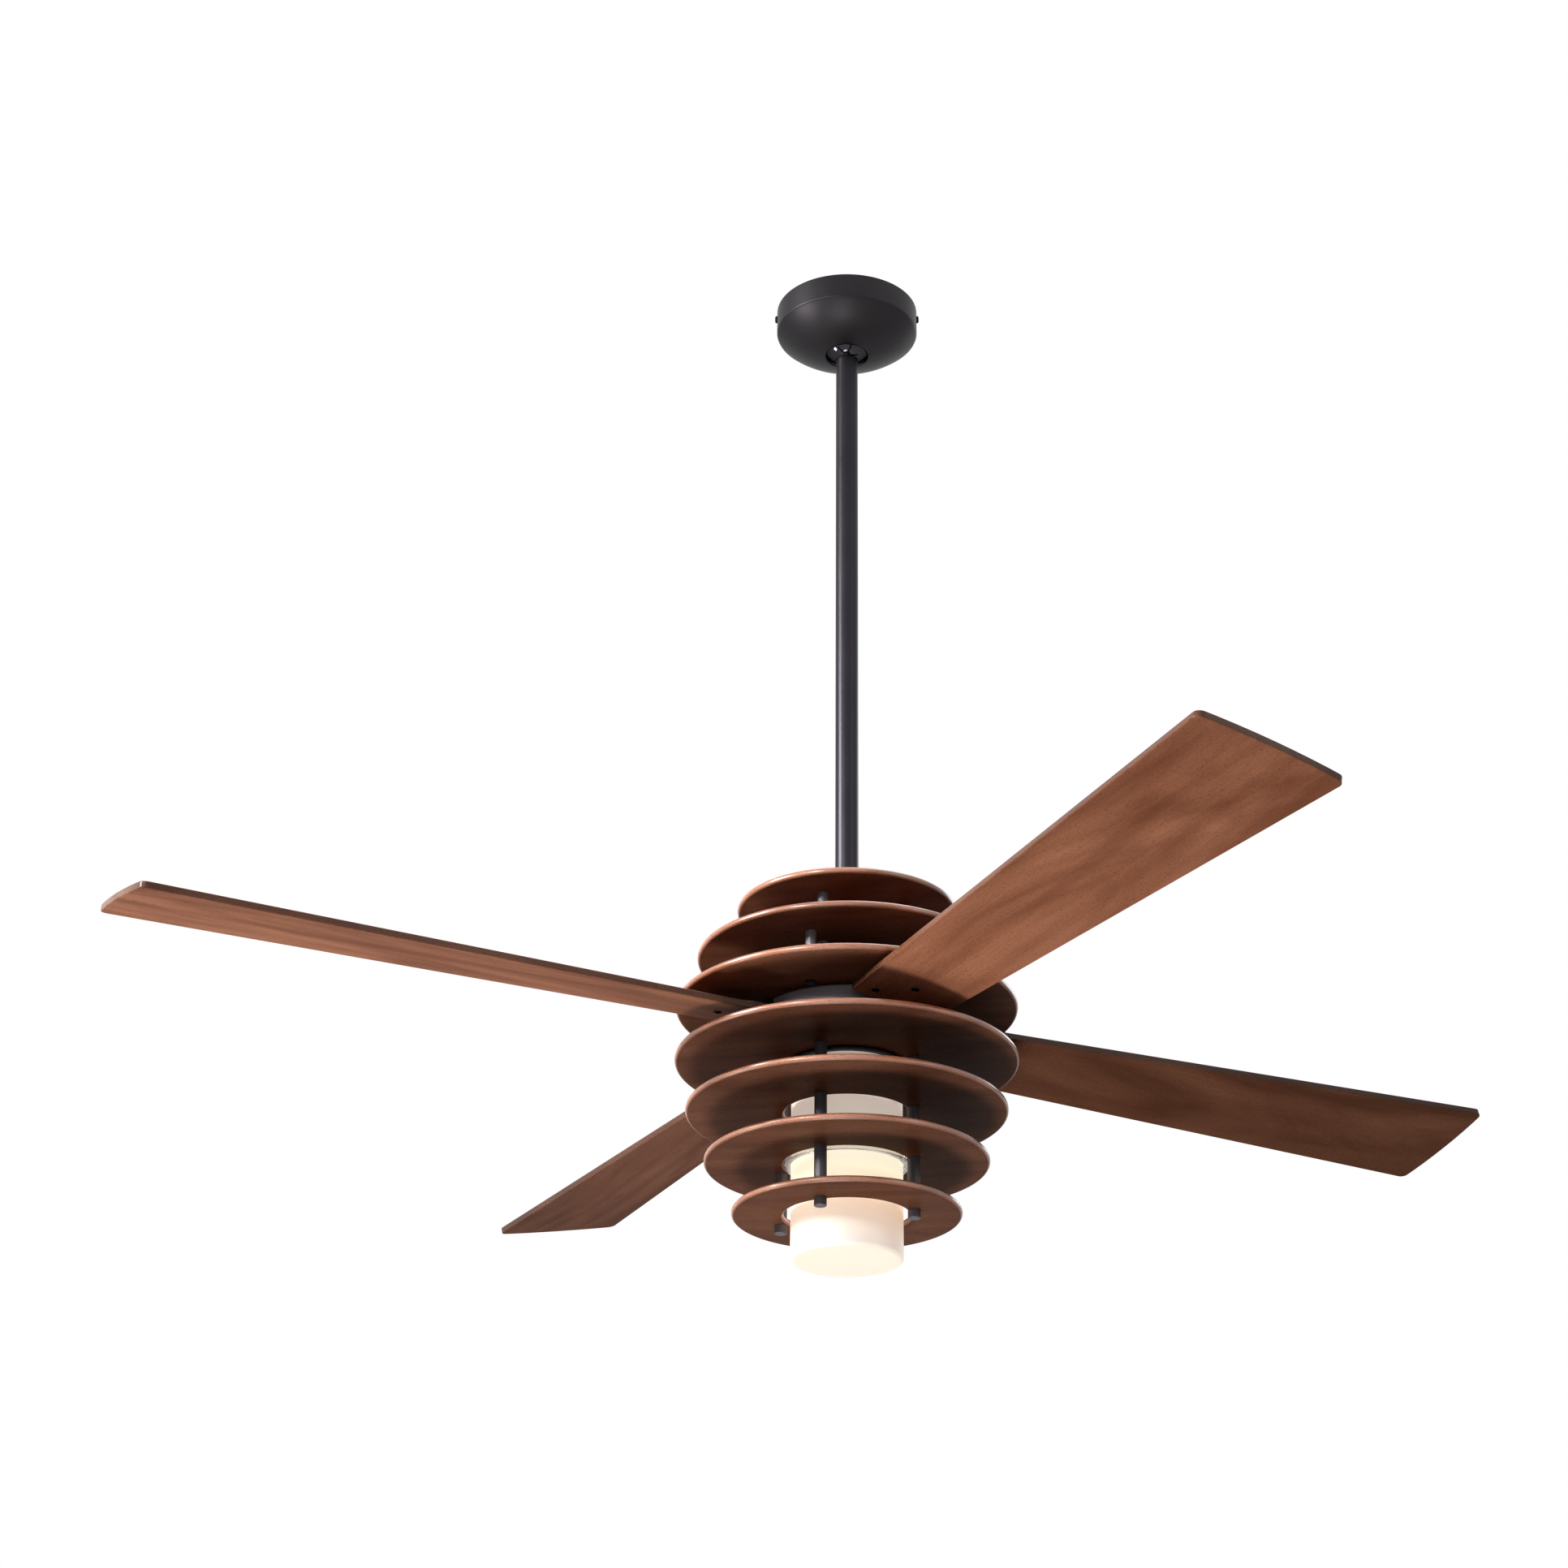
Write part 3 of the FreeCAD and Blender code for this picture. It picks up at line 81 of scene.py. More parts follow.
def height_of(node):
    return top_of(node) - base_of(node)


blade_disc_z = middle("lower_disc_1").z
print("blade disc at", round(blade_disc_z, 4), "m")

# %% [markdown]
# The camera stands below the fan and looks up at it, so the undersides of the discs show.
# Its lens, height and tilt were worked out from the ellipses of the discs; the small sideways
# shift puts the fan's axis a little right of the middle, as the picture frames it.

# %% Camera
LENS = 71.88
SENSOR_WIDTH = 36.0
CLIP_END = 50.0
CAMERA_BACK = 2609.5 * MM
CAMERA_BELOW_BLADE_DISC = 959.8 * MM
CAMERA_TILT = 25.28
FRAME_SHIFT = -0.0401
camera_data = bpy.data.cameras.new("camera")
camera_data.lens = LENS
camera_data.sensor_width = SENSOR_WIDTH
camera_data.shift_x = FRAME_SHIFT
camera_data.clip_end = CLIP_END
camera = bpy.data.objects.new("camera", camera_data)
scene.collection.objects.link(camera)
camera.location = (0.0, -CAMERA_BACK, blade_disc_z - CAMERA_BELOW_BLADE_DISC)
camera.rotation_euler = (math.radians(90.0 + CAMERA_TILT), 0.0, 0.0)
scene.camera = camera
print("camera at", tuple(camera.location))

# %% [markdown]
# A finish is a node tree that ends in one Principled shader. Written out link by link, such a tree
# is long and hard to read. These helpers make it a table instead: each socket of a node is fed with
# either the output of another node or a plain value.

# %% Helpers for materials and nodes


def feed(tree, value, socket):
    """Link an output to a socket, or set a number, a vector or a colour on it."""
    if hasattr(value, "is_linked"):
        tree.links.new(value, socket)
    elif socket.type == "RGBA":
        socket.default_value = (*value, 1.0)
    else:
        socket.default_value = value


def add(tree, kind, sockets=None, **settings):
    """Add a node, feed its sockets by name or number, and return its outputs."""
    node = tree.nodes.new(kind)
    for field, value in settings.items():
        setattr(node, field, value)
    for socket, value in (sockets or {}).items():
        feed(tree, value, node.inputs[socket])
    return node.outputs


def dress(mat, sockets):
    """Feed the sockets of a material's shader."""
    shader = mat.node_tree.nodes["Principled BSDF"]
    for socket, value in sockets.items():
        feed(mat.node_tree, value, shader.inputs[socket])
    return mat


def material(name, roughness):
    """A new material and its tree."""
    mat = bpy.data.materials.new(name)
    mat.use_nodes = True
    return dress(mat, {"Roughness": roughness}), mat.node_tree


def object_place(tree):
    """Coordinates in the object's own frame, in metres."""
    return add(tree, "ShaderNodeTexCoord")["Object"]


print("helpers for materials are ready")

# %% [markdown]
# The patterns come from a few kinds of node. A ramp turns a value into colours, a mix lays one
# colour over another, and a Mapping node stretches noise along one direction, which is what turns
# clouds into grain. Two Map Range helpers change the span of a value.

# %% Helpers for patterns
MIX_ONE = 6
MIX_TWO = 7
MIX_RESULT = 2


def toned(colour, tone):
    """A colour made darker or lighter as a whole."""
    return tuple(tone * channel for channel in colour)


def ramp(tree, factor, stops):
    """A colour ramp: stops are (position, colour) pairs."""
    node = tree.nodes.new("ShaderNodeValToRGB")
    elements = node.color_ramp.elements
    while len(elements) < len(stops):
        elements.new(1.0)
    for element, (position, colour) in zip(elements, stops):
        element.position = position
        element.color = (*colour, 1.0)
    feed(tree, factor, node.inputs["Fac"])
    return node.outputs["Color"]


def mix(tree, factor, one, two, blend="MIX"):
    sockets = {"Factor": factor, MIX_ONE: one, MIX_TWO: two}
    return add(tree, "ShaderNodeMix", sockets, data_type="RGBA", blend_type=blend)[MIX_RESULT]


def noise(tree, vector, scale=1.0, detail=4.0, rough=0.55, distortion=0.0):
    sockets = {"Vector": vector, "Scale": scale, "Detail": detail, "Roughness": rough,
               "Distortion": distortion}
    return add(tree, "ShaderNodeTexNoise", sockets)["Fac"]


def stretched(tree, vector, scale, turn=0.0):
    """Coordinates scaled along each axis and turned about Z."""
    sockets = {"Vector": vector, "Scale": scale, "Rotation": (0.0, 0.0, turn)}
    return add(tree, "ShaderNodeMapping", sockets)["Vector"]


def scaled(tree, value, low, high):
    """Map 0 to 1 onto low to high."""
    return add(tree, "ShaderNodeMapRange", {"Value": value, "To Min": low, "To Max": high})["Result"]


def share_between(tree, value, start, end):
    """Map start to end onto 0 to 1."""
    return add(tree, "ShaderNodeMapRange", {"Value": value, "From Min": start, "From Max": end})["Result"]


def bump(tree, height, strength, distance):
    """The normal of a surface that is raised a little by a height."""
    sockets = {"Height": height, "Strength": strength, "Distance": distance}
    return add(tree, "ShaderNodeBump", sockets)["Normal"]


def calc(tree, operation, one, two=0.0):
    """One step of arithmetic."""
    return add(tree, "ShaderNodeMath", {0: one, 1: two}, operation=operation)["Value"]


print("helpers for patterns are ready")

# %% [markdown]
# Walnut veneer shows four scales of figure: a slow drift of colour, soft growth lines that waver
# along the board, fine fibre, and short dark pores. A picture of wood would repeat and blur, so
# each scale is a noise or wave texture that is stretched along the grain, in metres. The three
# numbers of a stretch are for along, across and through the board: a small one makes long marks.

# %% Walnut figure
EVEN = (1.0, 1.0, 1.0)
WALNUTS = ((0.185, 0.066, 0.034), (0.280, 0.108, 0.058), (0.365, 0.150, 0.083))
DRIFT_PLACES = (0.28, 0.5, 0.72)
PORE = (0.085, 0.029, 0.015)
DRIFT_STRETCH = (2.4, 9.0, 9.0)
GROWTH_STRETCH = (0.3, 1.0, 1.0)
FIBRE_STRETCH = (20.0, 420.0, 420.0)
PORE_STRETCH = (240.0, 1300.0, 1300.0)
GROWTH_WAVE = {"Scale": 7.0, "Distortion": 16.0, "Detail": 2.0, "Detail Scale": 0.5}
GROWTH_STOPS = [(0.0, (0.66, 0.60, 0.57)), (0.5, EVEN)]
FIBRE_STOPS = [(0.3, (0.80, 0.78, 0.77)), (0.7, (1.2, 1.2, 1.2))]
PORE_STOPS = [(0.57, (0.0, 0.0, 0.0)), (0.70, (0.55, 0.55, 0.55))]
FIGURE_DEPTH = 0.42


def walnut_figure(tree, place, turn, tone):
    """The colour of the wood, and its fibre, which the bump needs too."""
    drift = noise(tree, stretched(tree, place, DRIFT_STRETCH, turn), detail=3.0, rough=0.5, distortion=2.2)
    colour = ramp(tree, drift, list(zip(DRIFT_PLACES, [toned(shade, tone) for shade in WALNUTS])))
    bands = {"Vector": stretched(tree, place, GROWTH_STRETCH, turn), **GROWTH_WAVE}
    wave = add(tree, "ShaderNodeTexWave", bands, wave_type="BANDS", bands_direction="Y")["Fac"]
    colour = mix(tree, FIGURE_DEPTH, colour, ramp(tree, wave, GROWTH_STOPS), "MULTIPLY")
    fibre = noise(tree, stretched(tree, place, FIBRE_STRETCH, turn), detail=5.0, rough=0.6, distortion=0.3)
    colour = mix(tree, FIGURE_DEPTH, colour, ramp(tree, fibre, FIBRE_STOPS), "MULTIPLY")
    pores = noise(tree, stretched(tree, place, PORE_STRETCH, turn), detail=1.0, rough=0.5)
    return mix(tree, ramp(tree, pores, PORE_STOPS), colour, toned(PORE, tone)), fibre


print("walnut figure from", len(WALNUTS), "shades")

# %% [markdown]
# The boards have a dull lacquer on the faces and polished, rounded edges that catch the light. One
# could paint the edges as separate faces. Here the surface normal tells them apart: where it turns
# away from the vertical, the wood gets the edge's gloss and shine, and its colour changes: the disc
# rims are painted lighter, which is painted light on the bull nose, and the blade edges are made
# darker. The blades read their UV map, in metres along and across the blade, so that the grain
# follows each blade. The discs are cut from flat sheets and read Object coordinates, with the grain
# turned a little. Each blade has its own tone, which is painted shade: the blades that the lamps
# light less are painted darker. The upper discs have a lighter tone than the lower ones, which is
# painted light against the shade they stand in.

# %% Walnut boards
FACE_SHINE = 0.006
EDGE_ROUGHNESS = 0.24
FACE_NORMAL = 0.95
EDGE_NORMAL = 0.3
FINE_BUMP = 0.02
GRAIN_HEIGHT = 0.2 * MM
# Painted shade: each blade gets a darker tone the less the lamps light it where it stands at rest.
BLADE_PAINTED_SHADES = (0.44, 0.60, 0.82, 1.0)
GRAIN_TURN = math.radians(35.0)
DISC_POLISH = {"roughness": 0.36, "edge_shine": 1.0}


def edge_share(tree, normal):
    """0 on the flat faces and 1 on the rounded edges."""
    upright = calc(tree, "ABSOLUTE", add(tree, "ShaderNodeSeparateXYZ", {"Vector": normal})["Z"])
    return share_between(tree, upright, FACE_NORMAL, EDGE_NORMAL)


def walnut(name, coordinates, turn=0.0, tone=1.0, roughness=0.45, painted_edge_light=0.5, edge_shine=0.22):
    """A lacquered board: tone shades all of it; the painted edge light, which makes the edges lighter or
    darker, and edge_shine act only on its edges.
    """
    mat, tree = material(name, roughness)
    source = add(tree, "ShaderNodeTexCoord")
    figure, fibre = walnut_figure(tree, source[coordinates], turn, tone)
    edge = edge_share(tree, source["Normal"])
    # Painted light: the edges' colour is scaled, lighter on the disc rims and darker on the blade edges.
    painted_edge_colour = mix(tree, edge, EVEN, toned(EVEN, painted_edge_light))
    return dress(mat, {
        "Base Color": mix(tree, 1.0, figure, painted_edge_colour, "MULTIPLY"),
        "Roughness": scaled(tree, edge, roughness, EDGE_ROUGHNESS),
        "Specular IOR Level": scaled(tree, edge, FACE_SHINE, edge_shine),
        "Normal": bump(tree, fibre, FINE_BUMP, GRAIN_HEIGHT),
    })


# Each blade's tone is painted shade.
blade_walnuts = []
for number, tone in enumerate(BLADE_PAINTED_SHADES, start=1):
    blade_walnuts.append(walnut("blade_walnut_%d" % number, "UV", tone=tone))
# Painted light: the upper discs get a lighter tone than the lower ones, against the shade under the larger
# boards.
upper_walnut_painted_light = walnut("upper_disc_walnut_painted_light", "Object", GRAIN_TURN, tone=0.66, painted_edge_light=2.2, **DISC_POLISH)
lower_walnut = walnut("lower_disc_walnut", "Object", GRAIN_TURN, tone=0.38, painted_edge_light=3.8, **DISC_POLISH)
print("walnut:", len(lower_walnut.node_tree.nodes), "nodes in each board")

# %% [markdown]
# The metalwork has a satin powder coat in a bronze that is almost black. A plain dark colour would
# look like plastic. A fine noise gives the orange-peel grain of the coat, a slow one varies its
# colour and gloss, and the Specular Tint keeps the reflection at a low angle from turning pale.
# The hub, the upper spacers, and the lower spacers and lower cap nuts get lighter copies of the
# same coat: that is painted light on parts that stand in the shade between the boards.

# %% Powder coats
PEEL_SCALE = 2600.0
CLOUD_SCALE = 14.0
CLOUD_LIFT = 1.35
GLOSS_SWING = 0.06
COAT_SPECULAR = 0.2


def powder_coat(name, colour, roughness, metallic=0.9, glance=0.62):
    """A satin coat; glance dims the reflection at a low angle."""
    mat, tree = material(name, roughness)
    place = object_place(tree)
    peel = noise(tree, place, PEEL_SCALE, detail=2.0)
    cloud = noise(tree, place, CLOUD_SCALE, detail=3.0)
    return dress(mat, {
        "Base Color": mix(tree, cloud, colour, toned(colour, CLOUD_LIFT)),
        "Metallic": metallic,
        "Roughness": scaled(tree, cloud, roughness - GLOSS_SWING, roughness + GLOSS_SWING),
        "Specular IOR Level": COAT_SPECULAR,
        "Specular Tint": toned(EVEN, glance),
        "Normal": bump(tree, peel, FINE_BUMP, GRAIN_HEIGHT),
    })


bronze = powder_coat("bronze_coat", (0.026, 0.024, 0.028), 0.33, glance=0.75)
# Painted light: a lighter copy of the bronze, for the hub and the upper spacers in the shade.
hub_coat_painted_light = powder_coat("hub_coat_painted_light", (0.250, 0.240, 0.262), 0.40, metallic=0.5)
canopy_coat = powder_coat("canopy_coat", (0.023, 0.021, 0.023), 0.42, glance=0.8)
screw_black = powder_coat("black_oxide", (0.010, 0.010, 0.010), 0.3, glance=0.25)
# Painted light: a lighter copy of the bronze, for the lower spacers and cap nuts in the shade.
spacer_coat_painted_light = powder_coat("spacer_coat_painted_light", (0.085, 0.078, 0.085), 0.40, metallic=0.5)
print("powder coats from", bronze.name, "to", spacer_coat_painted_light.name)

# %% [markdown]
# The motor in the hub has plated steel, iron sheets and copper wire. The liner of the ball, the lamp
# socket, the capacitor's case and the clear collar are mouldings. Plated metal shows fine lines from
# drawing and turning, so its noise is stretched. A moulding shows a faint even grain. The hanger
# ball is polished: it gets no grain, and a dark metallic gloss.

# %% Plated metal and mouldings
DRAWN_STRETCH = (300.0, 300.0, 40.0)
DRAWN_SHADE = 0.75
DRAWN_SWING = 0.08
MOULD_SCALE = 900.0
MOULD_LIFT = 1.08


def plated(name, colour, roughness):
    mat, tree = material(name, roughness)
    lines = noise(tree, stretched(tree, object_place(tree), DRAWN_STRETCH), detail=3.0)
    return dress(mat, {
        "Base Color": mix(tree, lines, toned(colour, DRAWN_SHADE), colour),
        "Metallic": 1.0,
        "Roughness": scaled(tree, lines, roughness - DRAWN_SWING, roughness + DRAWN_SWING),
    })


def moulded(name, colour, roughness, grain_strength=0.05):
    mat, tree = material(name, roughness)
    grain = noise(tree, object_place(tree), MOULD_SCALE, detail=3.0)
    return dress(mat, {
        "Base Color": mix(tree, grain, colour, toned(colour, MOULD_LIFT)),
        "Normal": bump(tree, grain, grain_strength, GRAIN_HEIGHT),
    })


steel = plated("zinc_steel", (0.55, 0.54, 0.52), 0.35)
lamination = plated("lamination_iron", (0.2, 0.2, 0.2), 0.5)
copper = plated("enamelled_copper", (0.62, 0.27, 0.10), 0.35)
liner_plastic = moulded("liner_plastic", (0.03, 0.03, 0.03), 0.6)
porcelain = moulded("porcelain", (0.82, 0.80, 0.76), 0.15)
capacitor_case = moulded("capacitor_case", (0.03, 0.03, 0.03), 0.5)
ball_gloss = moulded("ball_gloss_black", (0.035, 0.035, 0.040), 0.05, grain_strength=0.0)
dress(ball_gloss, {"Metallic": 1.0, "Specular Tint": (0.3, 0.3, 0.3)})
collar_clear = moulded("collar_clear", (0.90, 0.87, 0.85), 0.10, grain_strength=0.02)
dress(collar_clear, {"Transmission Weight": 0.8, "IOR": 1.49})
print("plated metal and mouldings from", steel.name, "to", collar_clear.name)

# %% [markdown]
# The light is on in the picture. Real opal glass scatters a lamp's light inside its wall, which
# would take many samples to trace. Instead the glass glows by itself: a ramp over its height makes
# it brightest near the top, warmer in the middle and dimmer at the bottom, which the soft boxes
# light as well. The glow stays low, so that it and their light together don't clip. The surface is
# etched, which is why its gloss is soft. The white metal cup above the glass is no lamp, but it
# glows too, brighter towards the glass and dimmer at its top: that glow is painted light.

# %% Opal glass
OPAL_LOW = (0.56, 0.54, 0.51)
OPAL_HIGH = (0.60, 0.58, 0.55)
OPAL_SPECULAR = 0.4
OPAL_CLOUD_SCALE = 30.0
GLOW_LOW = (0.97, 0.97, 0.97)
GLOW_HIGH = (1.03, 1.03, 1.03)
BOTTOM_GLOW = (0.40, 0.32, 0.19)
LAMP_GLOW = (1.5, 1.3, 1.0)
GLASS_STOPS = [
    (0.0, BOTTOM_GLOW), (0.006, BOTTOM_GLOW), (0.03, (0.50, 0.40, 0.34)), (0.42, (0.67, 0.46, 0.31)),
    (0.62, (0.72, 0.52, 0.34)), (0.8, (0.92, 0.84, 0.60)), (1.0, (0.84, 0.76, 0.60)),
]
CUP_PAINTED_GLOW_STOPS = [(0.0, (0.58, 0.49, 0.42)), (1.0, (0.38, 0.32, 0.27))]
LAMP_STOPS = [(0.0, LAMP_GLOW), (1.0, LAMP_GLOW)]


def glowing(name, node, stops, roughness):
    """A surface lit from inside, or on the cup a painted glow: stops are (share of the node's height,
    colour) pairs.
    """
    mat, tree = material(name, roughness)
    place = object_place(tree)
    height = add(tree, "ShaderNodeSeparateXYZ", {"Vector": place})["Z"]
    light = ramp(tree, share_between(tree, height, base_of(node), top_of(node)), stops)
    cloud = noise(tree, place, OPAL_CLOUD_SCALE, detail=2.0)
    return dress(mat, {
        "Base Color": mix(tree, cloud, OPAL_LOW, OPAL_HIGH),
        "Specular IOR Level": OPAL_SPECULAR,
        "Emission Color": mix(tree, 1.0, light, mix(tree, cloud, GLOW_LOW, GLOW_HIGH), "MULTIPLY"),
        "Emission Strength": 1.0,
    })


opal = glowing("opal_glass", "glass_shade", GLASS_STOPS, 0.55)
# Painted light: the metal cup glows, brighter towards the glass.
cup_painted_glow = glowing("cup_painted_glow", "lamp_cup", CUP_PAINTED_GLOW_STOPS, 0.4)
lamp_white = glowing("lamp_glass", "lamp", LAMP_STOPS, 0.4)
print("glow of the glass in", len(GLASS_STOPS), "stops")

# %% [markdown]
# The record names a material slot for every CAD node. A table from slot to finish dresses all nodes
# at once, also those that stay hidden in the hub, and the nodes that are right as they are need
# nothing more.

# %% Finishes on the CAD nodes
FINISHES = {
    "bronze": bronze,
    "black_screw": screw_black,
    "ball_black": ball_gloss,
    "liner_plastic": liner_plastic,
    "steel": steel,
    "lamination": lamination,
    "copper": copper,
    "disc_wood": lower_walnut,
    "blade_wood": blade_walnuts[0],
    "white_cup": cup_painted_glow,
    "clear_collar": collar_clear,
    "opal_glass": opal,
    "porcelain": porcelain,
    "lamp_glass": lamp_white,
    "capacitor_case": capacitor_case,
}
slot_of = {entry["node"]: entry["material_slot"] for entry in frame["record"]["subparts"]}
body_of = {}
for body, members in frame["record"]["behaviour"]["bodies"].items():
    for node in members:
        body_of[node] = body
for node, shown in nodes.items():
    shown.data.materials.clear()
    shown.data.materials.append(FINISHES[slot_of[node]])
print("finished", len(nodes), "CAD nodes with", len(FINISHES), "materials")

# %% [markdown]
# Many pieces of the fan repeat round an axis, and Geometry Nodes make what repeats. Every tree here
# starts with named inputs and ends in Realize Instances and Set Material, because the export drops
# instances. These helpers write that start and that end once.

# %% Helpers for Geometry Nodes


def new_tree(name, kinds):
    """A tree with named inputs, the identifier of each input, and the outputs that hand them on."""
    tree = bpy.data.node_groups.new(name, "GeometryNodeTree")
    tree.interface.new_socket("Geometry", in_out="OUTPUT", socket_type="NodeSocketGeometry")
    identifiers = {}
    for label, kind in kinds.items():
        socket = tree.interface.new_socket(label, in_out="INPUT", socket_type="NodeSocket" + kind)
        identifiers[label] = socket.identifier
    return tree, identifiers, add(tree, "NodeGroupInput")


def turns_of(tree, inputs):
    """The angle of each copy: its index as a share of a full turn, from the first angle on."""
    index = add(tree, "GeometryNodeInputIndex")["Index"]
    share = calc(tree, "DIVIDE", index, inputs["Count"])
    return calc(tree, "ADD", calc(tree, "MULTIPLY", share, 2 * math.pi), inputs["First Angle"])


def close_tree(tree, sockets, finish):
    """Copy an instance to points, make the copies real, paint them and end the tree."""
    copies = add(tree, "GeometryNodeInstanceOnPoints", sockets)["Instances"]
    real = add(tree, "GeometryNodeRealizeInstances", {"Geometry": copies})["Geometry"]
    painted = add(tree, "GeometryNodeSetMaterial", {"Geometry": real, "Material": finish})["Geometry"]
    add(tree, "NodeGroupOutput", {"Geometry": painted})


print("helpers for trees are ready")

# %% [markdown]
# Most of the fan is turned: discs, spacers, tubes and plates are all a rounded rectangle that is
# swept round an axis. One tree makes them all. A circle is the path and a filleted rectangle is the
# section, and the ring is then copied to evenly spaced points on a larger circle. A cylinder with a
# Bevel modifier would do for one, but here a single input rounds a spacer or a bull nose alike.

# %% Tree for turned rings
MERGE_DISTANCE = 1e-6
RING_KINDS = {
    "Outer Radius": "Float", "Inner Radius": "Float", "Height": "Float", "Edge Round": "Float",
    "Circle": "Float", "First Angle": "Float", "Base": "Float", "Segments": "Int", "Count": "Int",
    "Round Steps": "Int", "Material": "Material",
}


def ring_section(tree, inputs):
    """The filleted rectangle."""
    wall = calc(tree, "SUBTRACT", inputs["Outer Radius"], inputs["Inner Radius"])
    sides = {"Width": wall, "Height": inputs["Height"]}
    sharp = add(tree, "GeometryNodeCurvePrimitiveQuadrilateral", sides)["Curve"]
    corners = {"Curve": sharp, "Count": inputs["Round Steps"], "Radius": inputs["Edge Round"],
               "Limit Radius": True}
    return add(tree, "GeometryNodeFilletCurve", corners, mode="POLY")["Curve"]


def ring_mesh(tree, inputs):
    """The section swept round the axis, closed, lifted to its base and shaded smooth."""
    both = calc(tree, "ADD", inputs["Outer Radius"], inputs["Inner Radius"])
    circle = {"Resolution": inputs["Segments"], "Radius": calc(tree, "MULTIPLY", both, 0.5)}
    path = add(tree, "GeometryNodeCurvePrimitiveCircle", circle)["Curve"]
    path = add(tree, "GeometryNodeSetCurveNormal", {"Curve": path}, mode="Z_UP")["Curve"]
    curves = {"Curve": path, "Profile Curve": ring_section(tree, inputs)}
    mesh = add(tree, "GeometryNodeCurveToMesh", curves)["Mesh"]
    seam = {"Geometry": mesh, "Distance": MERGE_DISTANCE}
    mesh = add(tree, "GeometryNodeMergeByDistance", seam)["Geometry"]
    middle_z = calc(tree, "ADD", inputs["Base"], calc(tree, "MULTIPLY", inputs["Height"], 0.5))
    lift = add(tree, "ShaderNodeCombineXYZ", {"Z": middle_z})["Vector"]
    mesh = add(tree, "GeometryNodeTransform", {"Geometry": mesh, "Translation": lift})["Geometry"]
    return add(tree, "GeometryNodeSetShadeSmooth", {"Geometry": mesh})["Geometry"]


def ring_tree():
    tree, identifiers, inputs = new_tree("turned_ring", RING_KINDS)
    angle = turns_of(tree, inputs)
    place = {}
    for operation, axis in (("COSINE", "X"), ("SINE", "Y")):
        place[axis] = calc(tree, "MULTIPLY", calc(tree, operation, angle), inputs["Circle"])
    spot = add(tree, "ShaderNodeCombineXYZ", place)["Vector"]
    points = add(tree, "GeometryNodePoints", {"Count": inputs["Count"], "Position": spot})["Points"]
    close_tree(tree, {"Points": points, "Instance": ring_mesh(tree, inputs)}, inputs["Material"])
    return tree, identifiers


RING_TREE, RING_INPUT = ring_tree()
print("ring tree with", len(RING_INPUT), "inputs and", len(RING_TREE.nodes), "nodes")

# %% [markdown]
# A piece is finished when it is a plain mesh at the origin, rides on its body and has its finish,
# and the CAD node it stands for is hidden. These helpers do that the same way for every piece. A
# Weighted Normal modifier keeps flat faces flat under smooth shading, and is baked in with the rest.

# %% Helpers for finished pieces
FLAT_FIRST = 100
EASED = 0.4 * MM


def plain_object(name, mesh=None):
    piece = bpy.data.objects.new(name, mesh or bpy.data.meshes.new(name))
    scene.collection.objects.link(piece)
    return piece


def placed(piece, matrix):
    """Put a piece's place into its mesh."""
    piece.data.transform(matrix)
    return piece


def baked(piece):
    """The evaluated piece as a plain mesh with weighted normals, and with no modifier left."""
    piece.modifiers.new("weighted", "WEIGHTED_NORMAL").weight = FLAT_FIRST
    graph = bpy.context.evaluated_depsgraph_get()
    mesh = bpy.data.meshes.new_from_object(piece.evaluated_get(graph), depsgraph=graph)
    piece.modifiers.clear()
    piece.data = mesh
    return piece


def from_bmesh(name, work):
    """A plain object from a bmesh, which is freed."""
    mesh = bpy.data.meshes.new(name)
    work.to_mesh(mesh)
    work.free()
    return plain_object(name, mesh)


def grown(name, tree, identifiers, values):
    """What a tree makes from its input values, baked."""
    piece = plain_object(name)
    modifier = piece.modifiers.new("tree", "NODES")
    modifier.node_group = tree
    for label, value in values.items():
        modifier[identifiers[label]] = value
    return baked(piece)


def combined(name, pieces):
    """Several baked pieces as one object."""
    work = bmesh.new()
    for piece in pieces:
        work.from_mesh(piece.data)
    whole = from_bmesh(name, work)
    for finish in pieces[0].data.materials:
        whole.data.materials.append(finish)
    for piece in pieces:
        bpy.data.objects.remove(piece)
    return whole


def finished(piece, node, finish=None):
    """Let a piece stand for a CAD node: it gets the given finish, takes over the node's body, and hides the
    node.
    """
    if finish:
        piece.data.materials.append(finish)
    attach(piece, body_of[node])
    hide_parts(node)


def ring(name, finish, outer, inner, base, height, edge=EASED, steps=3, segments=96,
         circle=0.0, count=1, first_angle=0.0):
    """One turned piece, or several alike on a circle, as a plain mesh."""
    values = {
        "Outer Radius": outer, "Inner Radius": inner, "Height": height, "Edge Round": edge, "Base": base,
        "Circle": circle, "First Angle": first_angle, "Segments": segments, "Count": count,
        "Round Steps": steps, "Material": finish,
    }
    return grown(name, RING_TREE, RING_INPUT, values)


print("helpers for pieces are ready")

# %% [markdown]
# Each disc is a walnut board with a full bull nose, turned from flat sheet. Its height and place
# come from the CAD node's box, so the board can't drift from the frame. The radii of the boards and
# of their holes are the real ones. Many segments keep the long thin rims round.

